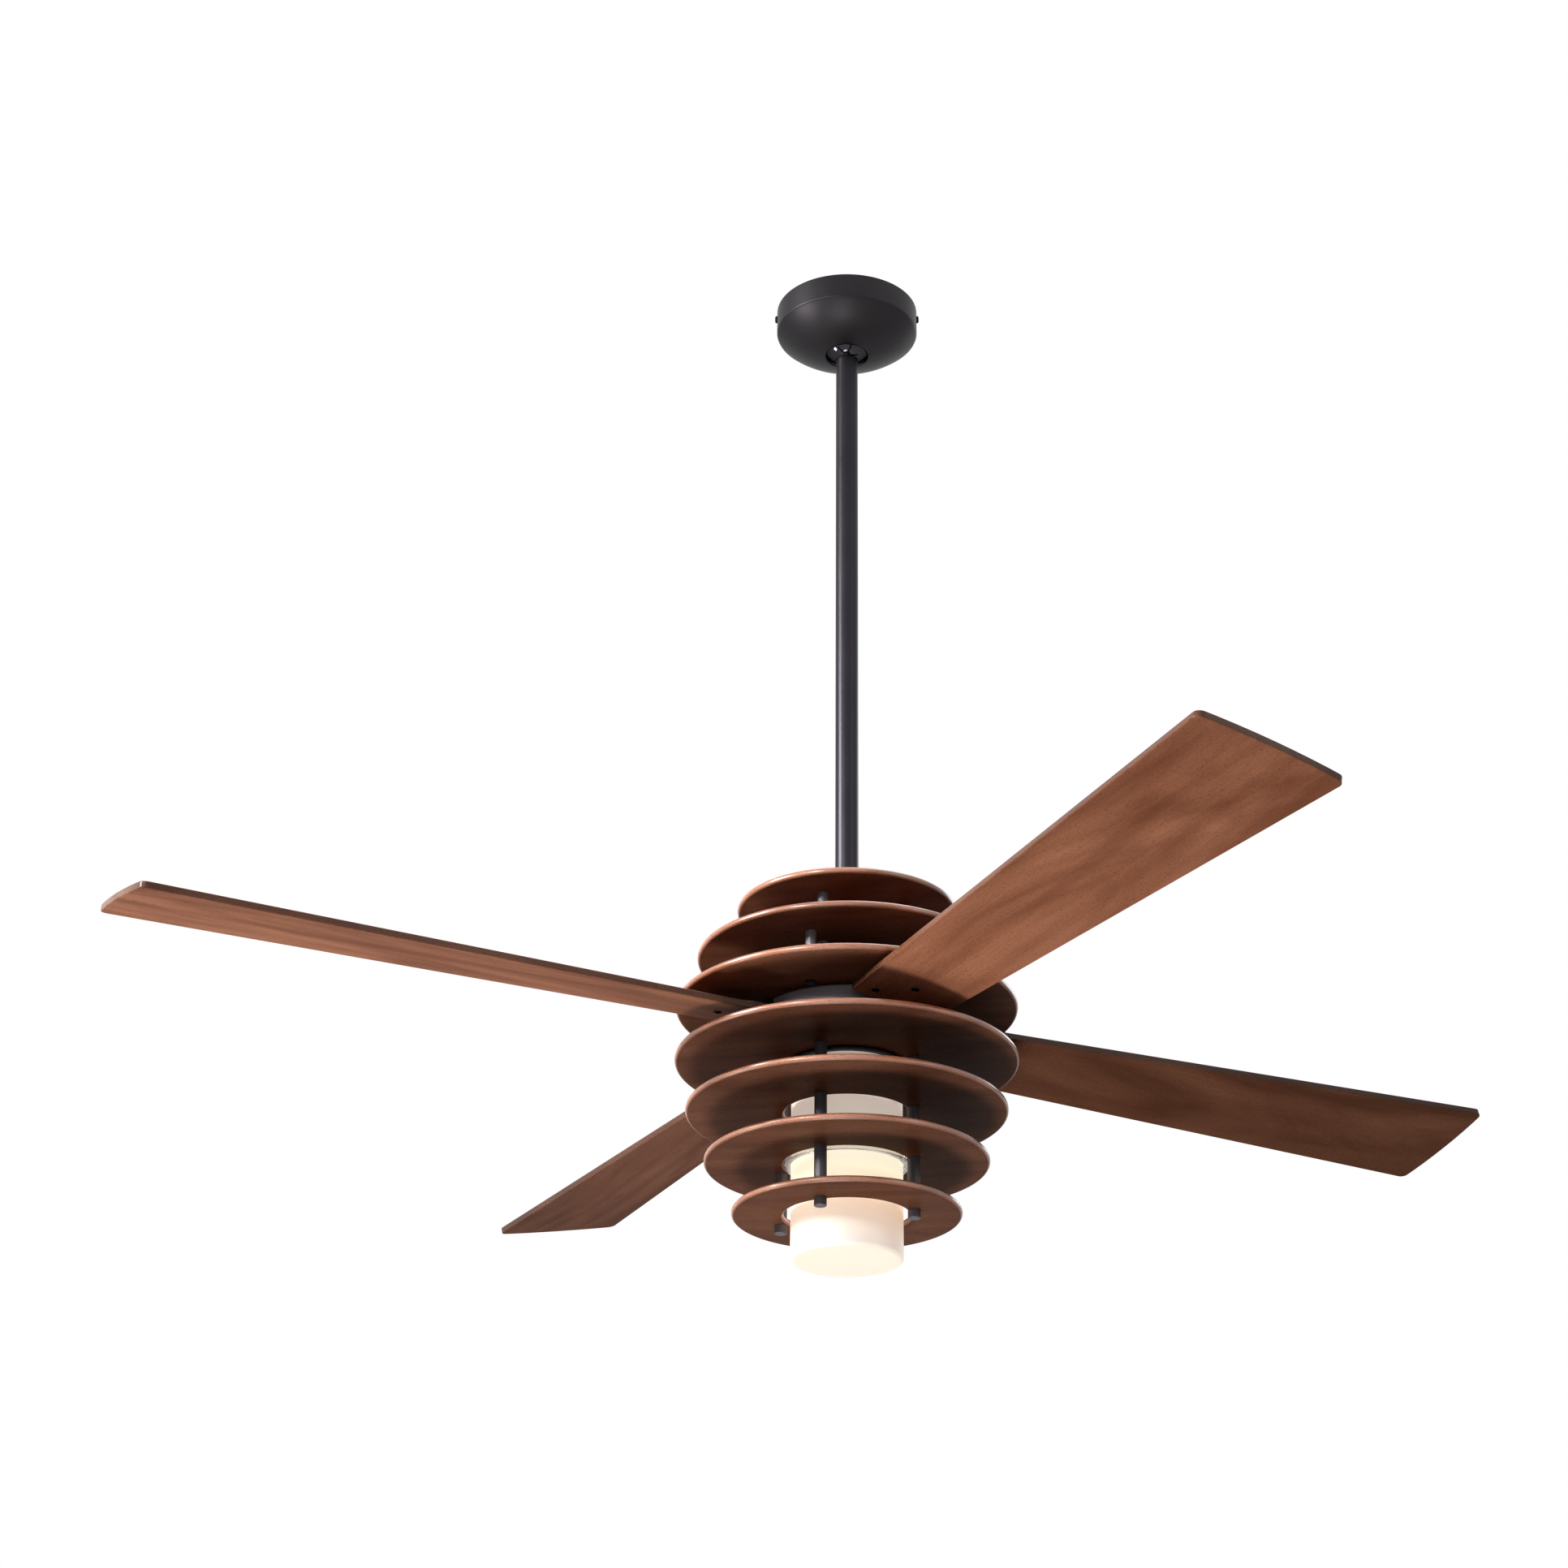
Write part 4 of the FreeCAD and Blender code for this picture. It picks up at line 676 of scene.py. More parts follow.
# %% Wood discs
DISC_RADII = {
    "upper_disc_1": (98.8 * MM, 10.75 * MM),
    "upper_disc_2": (134.0 * MM, 19.5 * MM),
    "upper_disc_3": (152.4 * MM, 19.5 * MM),
    "lower_disc_1": (152.4 * MM, 8.1 * MM),
    "lower_disc_2": (142.0 * MM, 55.0 * MM),
    "lower_disc_3": (125.0 * MM, 55.0 * MM),
    "lower_disc_4": (100.3 * MM, 55.0 * MM),
}
NOSE = 3.1 * MM
for node, (outer, hole) in DISC_RADII.items():
    wood = upper_walnut_painted_light if node.startswith("upper") else lower_walnut
    board = ring(node + "_board", wood, outer, hole, base_of(node), height_of(node), edge=NOSE,
                 steps=8, segments=224)
    finished(board, node)
print("turned", len(DISC_RADII), "discs")

# %% [markdown]
# The spacers are plain tubes that slip over the tie rods and hold the boards apart. They come in
# sets of four on a circle, which is what the ring tree's Count and Circle inputs are for. Each
# set takes its heights from the CAD boards above and below it. The lowest sets of the upper stack
# stand on the sheet of the carrier, which lies on the third board.

# %% Spacers
SPACER_COUNT = 4
TIE_BORE = 2.6 * MM
UPPER_FIRST = math.radians(68.0)
LOWER_FIRST = math.radians(68.7)
UPPER_SPACER = 4.75 * MM
LOWER_SPACER = 5.5 * MM
INNER_CIRCLE = 57.0 * MM
OUTER_CIRCLE = 84.0 * MM
LOWER_CIRCLE = 62.0 * MM
CARRIER_SHEET = 3.0 * MM
SPACER_EDGE = 0.35 * MM


def spacer_set(name, finish, radius, circle, first_angle, low, high):
    """One set of tubes from a low to a high level."""
    return ring(name, finish, radius, TIE_BORE, low, high - low, edge=SPACER_EDGE, segments=40,
                circle=circle, count=SPACER_COUNT, first_angle=first_angle)


def upper_set(name, circle, low, high):
    return spacer_set(name, hub_coat_painted_light, UPPER_SPACER, circle, UPPER_FIRST, low, high)


carrier_top = top_of("upper_disc_3") + CARRIER_SHEET
inner_sets = [
    upper_set("low", INNER_CIRCLE, carrier_top, base_of("upper_disc_2")),
    upper_set("high", INNER_CIRCLE, top_of("upper_disc_2"), base_of("upper_disc_1")),
]
finished(combined("inner_spacer_tubes", inner_sets), "upper_inner_spacers")
outer_set = upper_set("outer_spacer_tubes", OUTER_CIRCLE, carrier_top, base_of("upper_disc_2"))
finished(outer_set, "upper_outer_spacers")
lower_sets = []
for number in (1, 2, 3):
    low = top_of("lower_disc_%d" % (number + 1))
    high = base_of("lower_disc_%d" % number)
    lower_sets.append(spacer_set("tier", spacer_coat_painted_light, LOWER_SPACER, LOWER_CIRCLE, LOWER_FIRST, low, high))
finished(combined("lower_spacer_tubes", lower_sets), "lower_spacers")
print("spacers in", len(inner_sets) + 1 + len(lower_sets), "sets of", SPACER_COUNT)

# %% [markdown]
# The downrod is a length of pipe, the light plate a turned disc and the collar a clear ring that
# holds the glass. All three are rings with eased edges, so the same tree makes them, and their
# heights come from the CAD nodes again.

# %% Downrod, light plate and collar
ROD_RADIUS = 10.65 * MM
ROD_BORE = 7.85 * MM
ROD_EDGE = 0.5 * MM
PLATE_RADIUS = 53.0 * MM
SHAFT_NECK = 8.0 * MM
PLATE_EDGE = 1.1 * MM
COLLAR_RADIUS = 54.4 * MM
COLLAR_BORE = 49.05 * MM
COLLAR_EDGE = 1.3 * MM
rod = ring("downrod_tube", bronze, ROD_RADIUS, ROD_BORE, base_of("downrod"), height_of("downrod"),
           edge=ROD_EDGE, segments=72)
finished(rod, "downrod")
plate = ring("light_plate_turned", bronze, PLATE_RADIUS, SHAFT_NECK, base_of("light_plate"),
             height_of("light_plate"), edge=PLATE_EDGE, steps=5, segments=144)
finished(plate, "light_plate")
collar = ring("glass_collar_turned", collar_clear, COLLAR_RADIUS, COLLAR_BORE, base_of("glass_collar"),
              height_of("glass_collar"), edge=COLLAR_EDGE, steps=5, segments=144)
finished(collar, "glass_collar")
print("rod", round(height_of("downrod"), 4), "m long")

# %% [markdown]
# The canopy, the hub, the glass and the ball are turned too, but their sections are not
# rectangles. For these a short lathe in bmesh spins a list of (radius, height) points. A second
# helper rounds the corners of that list, because no pressed or cast piece has a knife edge, and
# it is the rounded edges that catch the light.

# %% Lathe helpers
LATHE_STEPS = 160
ON_AXIS = 1e-7


def softened(points, radii, steps=5, closed=True):
    """Round the corners of an outline: one radius for each point, 0 keeps the corner."""
    out = []
    count = len(points)
    for index, (point, radius) in enumerate(zip(points, radii)):
        corner = Vector(point)
        if radius <= 0.0 or (not closed and index in (0, count - 1)):
            out.append(corner)
            continue
        back = (Vector(points[index - 1]) - corner).normalized()
        ahead = (Vector(points[(index + 1) % count]) - corner).normalized()
        half = back.angle(ahead) / 2
        reach = radius / math.tan(half)
        pivot = corner + (back + ahead).normalized() * (radius / math.sin(half))
        start = corner + back * reach - pivot
        end = corner + ahead * reach - pivot
        for step in range(steps + 1):
            spoke = start.slerp(end, step / steps).normalized()
            out.append(pivot + radius * spoke)
    return out


def lathe(name, outline, steps=LATHE_STEPS, closed=True):
    """Spin an outline round the axis; an open outline starts and ends on the axis."""
    work = bmesh.new()
    turns = [2 * math.pi * step / steps for step in range(steps)]
    rings = []
    for radius, z in outline:
        if radius < ON_AXIS:
            rings.append([work.verts.new((0.0, 0.0, z))] * steps)
            continue
        rings.append([work.verts.new((radius * math.cos(a), radius * math.sin(a), z)) for a in turns])
    pairs = list(zip(rings, rings[1:]))
    if closed:
        pairs.append((rings[-1], rings[0]))
    for one, two in pairs:
        for step in range(steps):
            after = (step + 1) % steps
            corners = list(dict.fromkeys([one[step], one[after], two[after], two[step]]))
            if len(corners) > 2:
                work.faces.new(corners)
    bmesh.ops.recalc_face_normals(work, faces=work.faces)
    for face in work.faces:
        face.smooth = True
    return baked(from_bmesh(name, work))


print("lathe with", LATHE_STEPS, "steps")

# %% [markdown]
# The canopy is a pressed cover: a straight band, a crease, and a shallow bowl that is part of a
# sphere. Its mouth is rolled in round the ball. A half sphere with its top cut off would be too
# deep, so the bowl's radius is worked out from its width and its rise. The wall is drawn on both
# sides, so the cover stays a real shell when it is seen from above.

# %% Canopy
CANOPY_RADIUS = 69.0 * MM
CANOPY_BAND = 24.6 * MM
CANOPY_DEPTH = 52.0 * MM
CANOPY_WALL = 1.2 * MM
CANOPY_MOUTH = 21.0 * MM
CREASE_IN = 0.6 * MM
CREASE_UP = 0.7 * MM
CANOPY_LIP = 0.4 * MM
BOWL_STEPS = 28
rise = CANOPY_DEPTH - CANOPY_BAND
bowl_radius = (CANOPY_RADIUS ** 2 + rise ** 2) / (2 * rise)
bowl_centre = bowl_radius - CANOPY_DEPTH


def bowl_side(radius, first, last):
    """Points on the bowl's sphere between two distances from the axis."""
    places = [first + (last - first) * step / BOWL_STEPS for step in range(BOWL_STEPS + 1)]
    return [(place, bowl_centre - math.sqrt(radius ** 2 - place ** 2)) for place in places]


inner_wall = CANOPY_RADIUS - CANOPY_WALL
canopy_outline = [(CANOPY_RADIUS, CREASE_UP - CANOPY_BAND)]
canopy_outline += bowl_side(bowl_radius, CANOPY_RADIUS - CREASE_IN, CANOPY_MOUTH)
canopy_outline += bowl_side(bowl_radius - CANOPY_WALL, CANOPY_MOUTH, inner_wall)
canopy_outline += [(inner_wall, -CANOPY_LIP), (inner_wall + CANOPY_LIP, 0.0)]
canopy_outline += [(CANOPY_RADIUS - CANOPY_LIP, 0.0), (CANOPY_RADIUS, -CANOPY_LIP)]
finished(lathe("canopy_cover", canopy_outline, steps=192), "canopy", canopy_coat)
print("canopy bowl radius", round(bowl_radius / MM, 1), "mm")

# %% [markdown]
# The hanger ball is a glossy moulding that sits in the bracket. Only its lower part shows, in
# the canopy's mouth, where it mirrors the lamps. A mirror shows every facet, so the ball is a
# finely stepped arc on the lathe, with the bore for the rod and a flat top.

# %% Hanger ball
BALL_RADIUS = 27.0 * MM
BALL_CENTRE = -31.0 * MM
BALL_FLAT = 8.0 * MM
BALL_STEPS = 40
low_angle = -math.acos(ROD_RADIUS / BALL_RADIUS)
high_angle = math.asin(BALL_FLAT / BALL_RADIUS)
ball_outline = []
for step in range(BALL_STEPS + 1):
    angle = low_angle + (high_angle - low_angle) * step / BALL_STEPS
    ball_outline.append((BALL_RADIUS * math.cos(angle), BALL_CENTRE + BALL_RADIUS * math.sin(angle)))
ball_outline.append((ROD_RADIUS, BALL_CENTRE + BALL_FLAT))
finished(lathe("hanger_ball_turned", ball_outline, steps=96), "hanger_ball", ball_gloss)
print("ball outline of", len(ball_outline), "points")

# %% [markdown]
# The rotor is a flat drum of two cast shells round the motor. Its edge is rounded and shows as a
# thin bright line, so the outline gets its radius there. The bearing bosses inside are kept, and
# one outline, turned over, serves both shells.

# %% Rotor shells
HUB_RADIUS = 78.0 * MM
HUB_WALL = 2.5 * MM
HUB_EDGE = 2.2 * MM
SEAM_EDGE = 0.3 * MM
SHAFT_HOLE = 13.0 * MM
BOSS_RADIUS = 24.0 * MM
SEAT_RADIUS = 21.0 * MM
SEAT_DEPTH = 8.0 * MM


def shell_outline(face, side):
    """Section of a shell whose flat face is at height face; side is the way to the other shell."""
    depth = height_of("rotor_top_shell")
    inside = HUB_RADIUS - HUB_WALL
    boss_end = HUB_WALL + SEAT_DEPTH
    steps = [(SHAFT_HOLE, 0.0), (HUB_RADIUS, 0.0), (HUB_RADIUS, depth), (inside, depth), (inside, HUB_WALL),
             (BOSS_RADIUS, HUB_WALL), (BOSS_RADIUS, boss_end), (SEAT_RADIUS, boss_end),
             (SEAT_RADIUS, HUB_WALL), (SHAFT_HOLE, HUB_WALL)]
    edges = [0.0, HUB_EDGE, SEAM_EDGE] + [0.0] * (len(steps) - 3)
    return softened([(radius, face + side * down) for radius, down in steps], edges, steps=6)


top_shell = lathe("rotor_top_turned", shell_outline(top_of("rotor_top_shell"), -1.0))
finished(top_shell, "rotor_top_shell", hub_coat_painted_light)
bottom_shell = lathe("rotor_bottom_turned", shell_outline(base_of("rotor_bottom_shell"), 1.0))
finished(bottom_shell, "rotor_bottom_shell", hub_coat_painted_light)
print("rotor drum", round(2 * HUB_RADIUS / MM), "mm across")

# %% [markdown]
# The light is an opal glass drum below a white metal cup. The glass is drawn with its wall, so
# that its rim reads as glass from above, and its lower edge has the soft radius of blown glass. The
# cup is spun from sheet, with a hole in its top for the wires.

# %% Lamp cup and glass drum
GLASS_RADIUS = 49.0 * MM
GLASS_WALL = 3.0 * MM
GLASS_ROUND = 4.0 * MM
GLASS_LIP = 0.8 * MM
CUP_WALL = 1.2 * MM
CUP_EDGE = 1.2 * MM
CUP_HOLE = 18.0 * MM
glass_low = base_of("glass_shade")
glass_high = top_of("glass_shade")
glass_bore = GLASS_RADIUS - GLASS_WALL
glass_floor = glass_low + GLASS_WALL
glass_points = [(0.0, glass_low), (GLASS_RADIUS, glass_low), (GLASS_RADIUS, glass_high),
                (glass_bore, glass_high), (glass_bore, glass_floor), (0.0, glass_floor)]
glass_edges = [0.0, GLASS_ROUND, GLASS_LIP, GLASS_LIP, GLASS_ROUND, 0.0]
drum = lathe("glass_drum", softened(glass_points, glass_edges, steps=10, closed=False), closed=False)
finished(drum, "glass_shade", opal)
cup_low = base_of("lamp_cup")
cup_high = top_of("lamp_cup")
cup_bore = GLASS_RADIUS - CUP_WALL
cup_points = [(cup_bore, cup_low), (GLASS_RADIUS, cup_low), (GLASS_RADIUS, cup_high),
              (CUP_HOLE, cup_high), (CUP_HOLE, cup_high - CUP_WALL), (cup_bore, cup_high - CUP_WALL)]
cup_edges = [0.0, 0.0, CUP_EDGE, 0.0, 0.0, 0.0]
# The cup's glow is painted light.
finished(lathe("lamp_cup_spun", softened(cup_points, cup_edges)), "lamp_cup", cup_painted_glow)
print("glass drum", round((glass_high - glass_low) / MM, 1), "mm tall")

# %% [markdown]
# Screws and cap nuts repeat round the fan. A second tree copies one small mesh to evenly spaced
# places round the axis and turns each copy with it, so one screw, or one blade's three screws,
# becomes the whole set. The ring tree can't do this, because a screw is not a ring.

# %% Tree for copies round the axis
COPIES_KINDS = {"Piece": "Object", "Count": "Int", "First Angle": "Float", "Material": "Material"}


def copies_tree():
    tree, identifiers, inputs = new_tree("copies_round_axis", COPIES_KINDS)
    piece = add(tree, "GeometryNodeObjectInfo", {"Object": inputs["Piece"]})["Geometry"]
    points = add(tree, "GeometryNodePoints", {"Count": inputs["Count"]})["Points"]
    turn = add(tree, "ShaderNodeCombineXYZ", {"Z": turns_of(tree, inputs)})["Vector"]
    close_tree(tree, {"Points": points, "Instance": piece, "Rotation": turn}, inputs["Material"])
    return tree, identifiers


COPIES_TREE, COPIES_INPUT = copies_tree()


def round_axis(name, piece, count, first_angle, finish):
    """Copies of a piece round the fan's axis, as one plain mesh; the first piece is removed."""
    values = {"Piece": piece, "Count": count, "First Angle": first_angle, "Material": finish}
    copies = grown(name, COPIES_TREE, COPIES_INPUT, values)
    bpy.data.objects.remove(piece)
    return copies


print("copies tree with", len(COPIES_INPUT), "inputs and", len(COPIES_TREE.nodes), "nodes")

# %% [markdown]
# A cap nut is a closed cylinder with a threaded hole, and its eased edges show as thin bright rings
# at the ends of the tie rods. One is turned on the lathe and copied round the axis: under the lowest
# board, and, upside down, on top of the two upper boards.

# %% Cap nuts
CAP_BORE = 2.5 * MM
CAP_THREAD = 6.0 * MM
CAP_HEIGHT = 8.0 * MM
TOP_NUT = 4.5 * MM
FLAT_END = 0.45
END_EDGE = 0.16
RIM_EDGE = 0.1


def cap_nut(radius, height):
    """A closed nut that stands on z = 0 with its open end up."""
    points = [(0.0, 0.0), (FLAT_END * radius, 0.0), (radius, 0.0), (radius, height), (CAP_BORE, height),
              (CAP_BORE, height - CAP_THREAD), (0.0, height - CAP_THREAD)]
    edges = [0.0, 0.0, END_EDGE * radius, RIM_EDGE * radius, 0.0, 0.0, 0.0]
    return lathe("cap", softened(points, edges, steps=4, closed=False), steps=48, closed=False)


upside_down = Matrix.Rotation(math.pi, 4, "X")
lower_cap = cap_nut(LOWER_SPACER, height_of("lower_cap_nuts"))
placed(lower_cap, Matrix.Translation((LOWER_CIRCLE, 0.0, base_of("lower_cap_nuts"))))
lower_caps = round_axis("lower_caps", lower_cap, SPACER_COUNT, LOWER_FIRST, spacer_coat_painted_light)
finished(lower_caps, "lower_cap_nuts")
upper_caps = []
for board, circle in (("upper_disc_1", INNER_CIRCLE), ("upper_disc_2", OUTER_CIRCLE)):
    cap = cap_nut(TOP_NUT, CAP_HEIGHT)
    placed(cap, Matrix.Translation((circle, 0.0, top_of(board) + CAP_HEIGHT)) @ upside_down)
    upper_caps.append(round_axis("caps", cap, SPACER_COUNT, UPPER_FIRST, bronze))
finished(combined("upper_caps", upper_caps), "upper_cap_nuts")
print("cap nuts:", SPACER_COUNT, "below and", SPACER_COUNT * len(upper_caps), "above")

# %% [markdown]
# A screw head is a low dome with a round edge and a socket. Cutting the socket with a Boolean would
# leave ragged faces, so the outline of the lathe makes it: the middle of the dome steps down to a
# flat floor. Three screws hold each blade to its iron from below. They are placed on the pitched
# plane of one blade, and the copies tree takes them to the other three.

# %% Blade screws
BLADES = 4
BLADE_FIRST = math.radians(27.8)
BLADE_PITCH = math.radians(11.7)
BLADE_RISE = 28.4 * MM
BLADE_THICK = 6.0 * MM
IRON_SHEET = 3.0 * MM
SCREW_SPOTS = ((99.0 * MM, 24.5 * MM), (99.0 * MM, -24.5 * MM), (127.0 * MM, 0.0))
SCREW_HEAD = 3.6 * MM
SCREW_HEAD_HEIGHT = 1.6 * MM
SCREW_SOCKET = 1.5 * MM
SCREW_SOCKET_DEPTH = 0.9 * MM
SCREW_SHANK = 2.0 * MM
HEAD_WALL = 0.55
DOME_WIDTH = 0.7
DOME_HEIGHT = 0.93
HEAD_EDGES = (0.0, 0.0, 0.3, 0.4, 0.12, 0.0, 0.0)


def screw_head(radius, height, socket, depth):
    """A head that sits on z = 0 and points up."""
    points = [(0.0, 0.0), (radius, 0.0), (radius, HEAD_WALL * height),
              (DOME_WIDTH * radius, DOME_HEIGHT * height), (socket, height), (socket, height - depth),
              (0.0, height - depth)]
    edges = [share * radius for share in HEAD_EDGES]
    return lathe("head", softened(points, edges, steps=4, closed=False), steps=36, closed=False)


def screw_shank(length):
    outline = [(0.0, 0.0), (SCREW_SHANK, 0.0), (SCREW_SHANK, length), (0.0, length)]
    return lathe("shank", outline, steps=24, closed=False)


pitched = Matrix.Rotation(-BLADE_PITCH, 4, "X")
blade_plane = Matrix.Translation((0.0, 0.0, blade_disc_z + BLADE_RISE)) @ pitched
one_blade_parts = []
for along, across in SCREW_SPOTS:
    underside = blade_plane @ Matrix.Translation((along, across, -BLADE_THICK / 2))
    head = screw_head(SCREW_HEAD, SCREW_HEAD_HEIGHT, SCREW_SOCKET, SCREW_SOCKET_DEPTH)
    one_blade_parts.append(placed(head, underside @ upside_down))
    one_blade_parts.append(placed(screw_shank(BLADE_THICK + IRON_SHEET), underside))
one_blade = combined("one_blade_screws", one_blade_parts)
all_screws = round_axis("blade_screw_set", one_blade, BLADES, BLADE_FIRST, screw_black)
finished(all_screws, "blade_screws")
print("blade screws:", BLADES * len(SCREW_SPOTS))

# %% [markdown]
# Two small screws through the band hold the canopy to the ears of the bracket. They are the same
# head and shank, laid sideways and copied to the other side.

# %% Canopy screws
COVER_HEAD = 3.6 * MM
COVER_HEAD_HEIGHT = 2.2 * MM
COVER_SOCKET = 1.4 * MM
COVER_SOCKET_DEPTH = 1.0 * MM
COVER_SCREWS = 2
EAR_FACE = 64.3 * MM
cover_screw_z = middle("canopy_screws").z
sideways = Matrix.Rotation(math.pi / 2, 4, "Y")
cover_head = screw_head(COVER_HEAD, COVER_HEAD_HEIGHT, COVER_SOCKET, COVER_SOCKET_DEPTH)
placed(cover_head, Matrix.Translation((CANOPY_RADIUS, 0.0, cover_screw_z)) @ sideways)
cover_shank = screw_shank(CANOPY_RADIUS - EAR_FACE)
placed(cover_shank, Matrix.Translation((EAR_FACE, 0.0, cover_screw_z)) @ sideways)
cover_screw = combined("cover_screw", [cover_head, cover_shank])
cover_pair = round_axis("canopy_screw_pair", cover_screw, COVER_SCREWS, 0.0, screw_black)
finished(cover_pair, "canopy_screws")
print("canopy screws:", COVER_SCREWS, "at", round(cover_screw_z, 4), "m")

# %% [markdown]
# A blade is a thin board that widens to its tip. The tip is an arc about the fan's axis, with
# rounded corners, and all edges are eased. A scaled cube can't taper or carry that arc, so the
# outline is drawn flat and extruded. It gets a UV map in metres, and is then pitched and turned to
# its place. Each blade starts at another spot of the veneer, so no two blades show the same figure.

# %% Blades
TIP_RADIUS = 660.4 * MM
TIP_HALF = 65.4 * MM
ROOT = 83.0 * MM
ROOT_HALF = 39.7 * MM
TIP_CORNER = 7.0 * MM
ROOT_CORNER = 1.0 * MM
EDGE_ROUND = 1.9 * MM
ARC_STEPS = 8
VENEER_ALONG = 1.7
VENEER_ACROSS = 0.37
EDGE_WRAP = 0.8


def blade_outline():
    sweep = math.asin(TIP_HALF / TIP_RADIUS)
    arc = [-sweep + 2 * sweep * step / ARC_STEPS for step in range(ARC_STEPS + 1)]
    tip = [(TIP_RADIUS * math.cos(angle), TIP_RADIUS * math.sin(angle)) for angle in arc]
    points = [(ROOT, -ROOT_HALF)] + tip + [(ROOT, ROOT_HALF)]
    radii = [ROOT_CORNER, TIP_CORNER] + [0.0] * (len(arc) - 2) + [TIP_CORNER, ROOT_CORNER]
    return softened(points, radii, steps=8)


def flat_board(work):
    """The outline as a board about z = 0, with eased rims."""
    low = [work.verts.new((x, y, -BLADE_THICK / 2)) for x, y in blade_outline()]
    raised = bmesh.ops.extrude_face_region(work, geom=[work.faces.new(low)])
    lifted = [item for item in raised["geom"] if isinstance(item, bmesh.types.BMVert)]
    bmesh.ops.translate(work, verts=lifted, vec=(0.0, 0.0, BLADE_THICK))
    bmesh.ops.recalc_face_normals(work, faces=work.faces)
    rims = [edge for edge in work.edges if len({round(v.co.z, 6) for v in edge.verts}) == 1]
    bmesh.ops.bevel(work, geom=rims, offset=EDGE_ROUND, segments=4, profile=0.5, affect="EDGES",
                    clamp_overlap=True)


def blade_board(name, number):
    work = bmesh.new()
    flat_board(work)
    uv = work.loops.layers.uv.new("grain")
    for face in work.faces:
        face.smooth = True
        for loop in face.loops:
            x, y, z = loop.vert.co
            loop[uv].uv = (x + VENEER_ALONG * number, y + EDGE_WRAP * z + VENEER_ACROSS * number)
    turn = Matrix.Rotation(BLADE_FIRST + 2 * math.pi * number / BLADES, 4, "Z")
    return placed(baked(from_bmesh(name, work)), turn @ blade_plane)


for number in range(BLADES):
    board = blade_board("blade_%d_board" % (number + 1), number)
    finished(board, "blade_%d" % (number + 1), blade_walnuts[number])
print("blades sweep", round(2 * TIP_RADIUS / MM, 1), "mm")

# %% [markdown]
# The studio is plain: a pale floor far below the fan, a white world, and soft boxes. A white
# background could come from more light, but that would wash out the wood. Here it comes from Light
# Path: rays from the camera, from gloss and through glass see a bright floor and a bright world,
# while both light the fan only a little. The floor still takes the fan's shadow.

# %% Studio floor and world
FLOOR_DROP = 4.2
FLOOR_HALF = 14.0
FLOOR_ROUGHNESS = 0.8
FLOOR_GREY = (0.85, 0.85, 0.85)
FLOOR_WHITE = 0.72
WORLD_FILL = 0.08
WHITE = (1.0, 1.0, 1.0)


def background_rays(tree):
    """1 for rays that show the background: from the camera, off gloss or through glass."""
    rays = add(tree, "ShaderNodeLightPath")
    mirrored = calc(tree, "MAXIMUM", rays["Is Glossy Ray"], rays["Is Transmission Ray"])
    return calc(tree, "MAXIMUM", rays["Is Camera Ray"], mirrored)


floor_mesh = bpy.data.meshes.new("floor")
signs = ((-1, -1), (1, -1), (1, 1), (-1, 1))
corners = [(x * FLOOR_HALF, y * FLOOR_HALF, -FLOOR_DROP) for x, y in signs]
floor_mesh.from_pydata(corners, [], [(0, 1, 2, 3)])
floor = plain_object("floor", floor_mesh)
floor_finish, floor_tree = material("pale_floor", FLOOR_ROUGHNESS)
dress(floor_finish, {
    "Base Color": FLOOR_GREY,
    "Emission Color": WHITE,
    "Emission Strength": scaled(floor_tree, background_rays(floor_tree), 0.0, FLOOR_WHITE),
})
floor_mesh.materials.append(floor_finish)

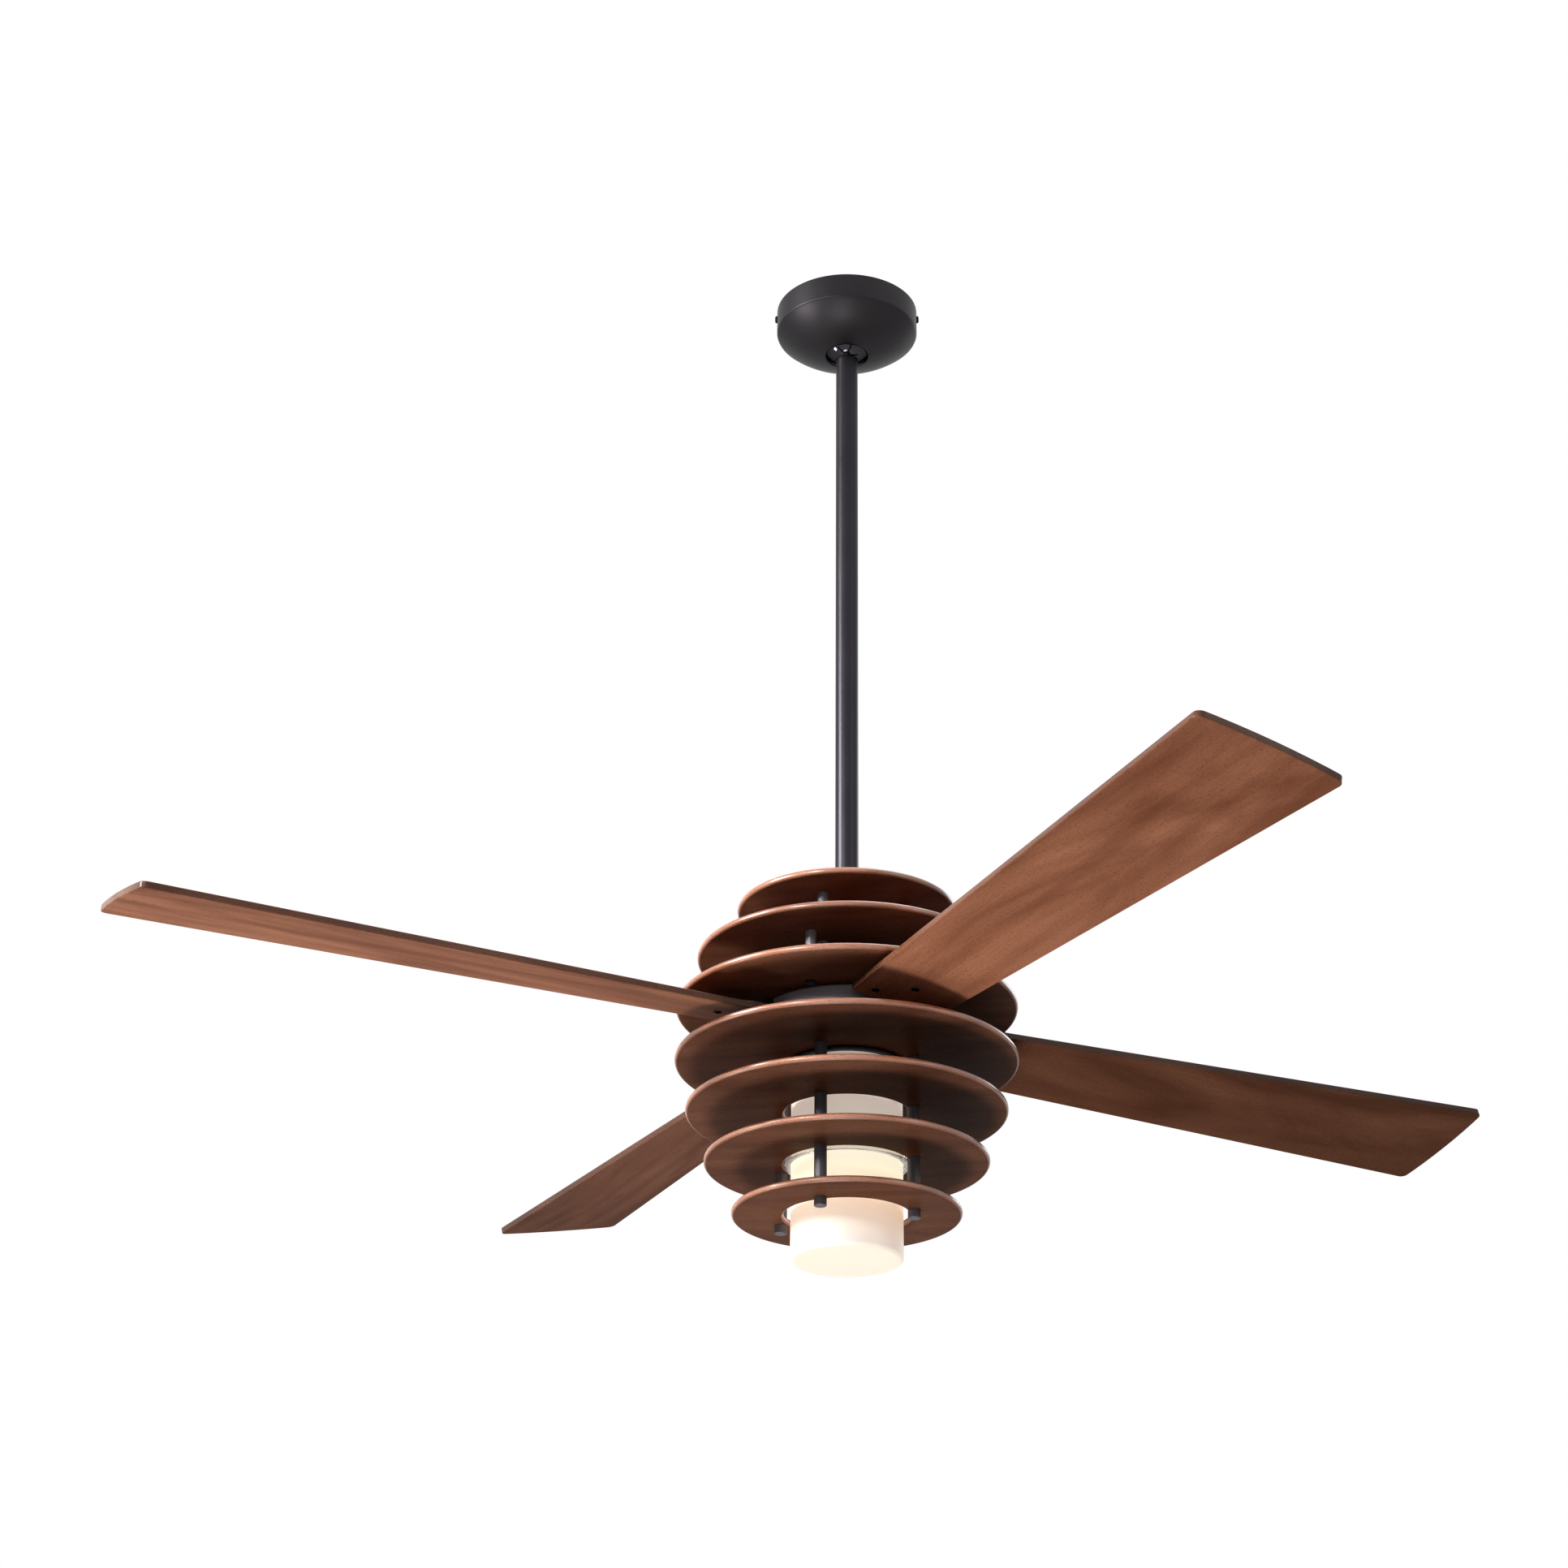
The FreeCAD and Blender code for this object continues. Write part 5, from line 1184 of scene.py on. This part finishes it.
world = bpy.data.worlds.new("studio")
scene.world = world
world.use_nodes = True
sky = world.node_tree
background = sky.nodes["Background"].inputs
feed(sky, WHITE, background["Color"])
feed(sky, scaled(sky, background_rays(sky), WORLD_FILL, 1.0), background["Strength"])
scene.view_settings.view_transform = "Standard"
print("floor", FLOOR_DROP, "m below the ceiling")

# %% [markdown]
# A product shot from below needs light from below: a small box gives the crisp shadow of the
# blade disc on the blade roots, and boxes at the left draw the bright lines on the rims. A box
# above and one behind keep the tops and the back readable when the part is turned. No box stands
# level with the blades, where its light would only graze the boards.

# %% Soft boxes


def soft_box(name, place, aim, size, power, spread=180.0):
    """A rectangular lamp that looks from its place to its aim; spread is in degrees."""
    data = bpy.data.lights.new(name, "AREA")
    data.shape = "RECTANGLE"
    data.size, data.size_y = size
    data.energy = power
    data.spread = math.radians(spread)
    lamp = bpy.data.objects.new(name, data)
    scene.collection.objects.link(lamp)
    lamp.location = place
    lamp.rotation_euler = (Vector(aim) - Vector(place)).to_track_quat("-Z", "Y").to_euler()
    return lamp


centre = (0.0, 0.0, blade_disc_z)
high_up = (0.0, 0.0, -0.1)
soft_boxes = [
    soft_box("under", (-0.2, -0.4, -2.3), centre, (0.5, 0.5), 15.0),
    soft_box("under_soft", (-0.3, -0.5, -2.5), centre, (2.4, 2.4), 4.0),
    soft_box("front_low", (-0.4, -1.6, -1.65), centre, (0.6, 0.6), 2.0),
    soft_box("low_left", (-1.9, -0.2, -1.9), high_up, (0.5, 0.5), 1.8, spread=40.0),
    soft_box("key_left", (-2.6, -0.9, 0.2), centre, (0.9, 1.3), 30.0, spread=80.0),
    soft_box("front_left", (-1.5, -2.3, -0.1), centre, (0.4, 0.4), 5.5, spread=70.0),
    soft_box("fill_right", (2.4, -1.8, 0.0), centre, (1.0, 2.0), 7.0),
    soft_box("above", (0.4, 0.3, 1.9), centre, (2.0, 2.0), 20.0, spread=100.0),
    soft_box("behind", (2.2, 2.4, 0.4), centre, (1.2, 1.6), 5.0, spread=90.0),
]
print(len(soft_boxes), "soft boxes,", round(sum(lamp.data.energy for lamp in soft_boxes), 1), "W in all")
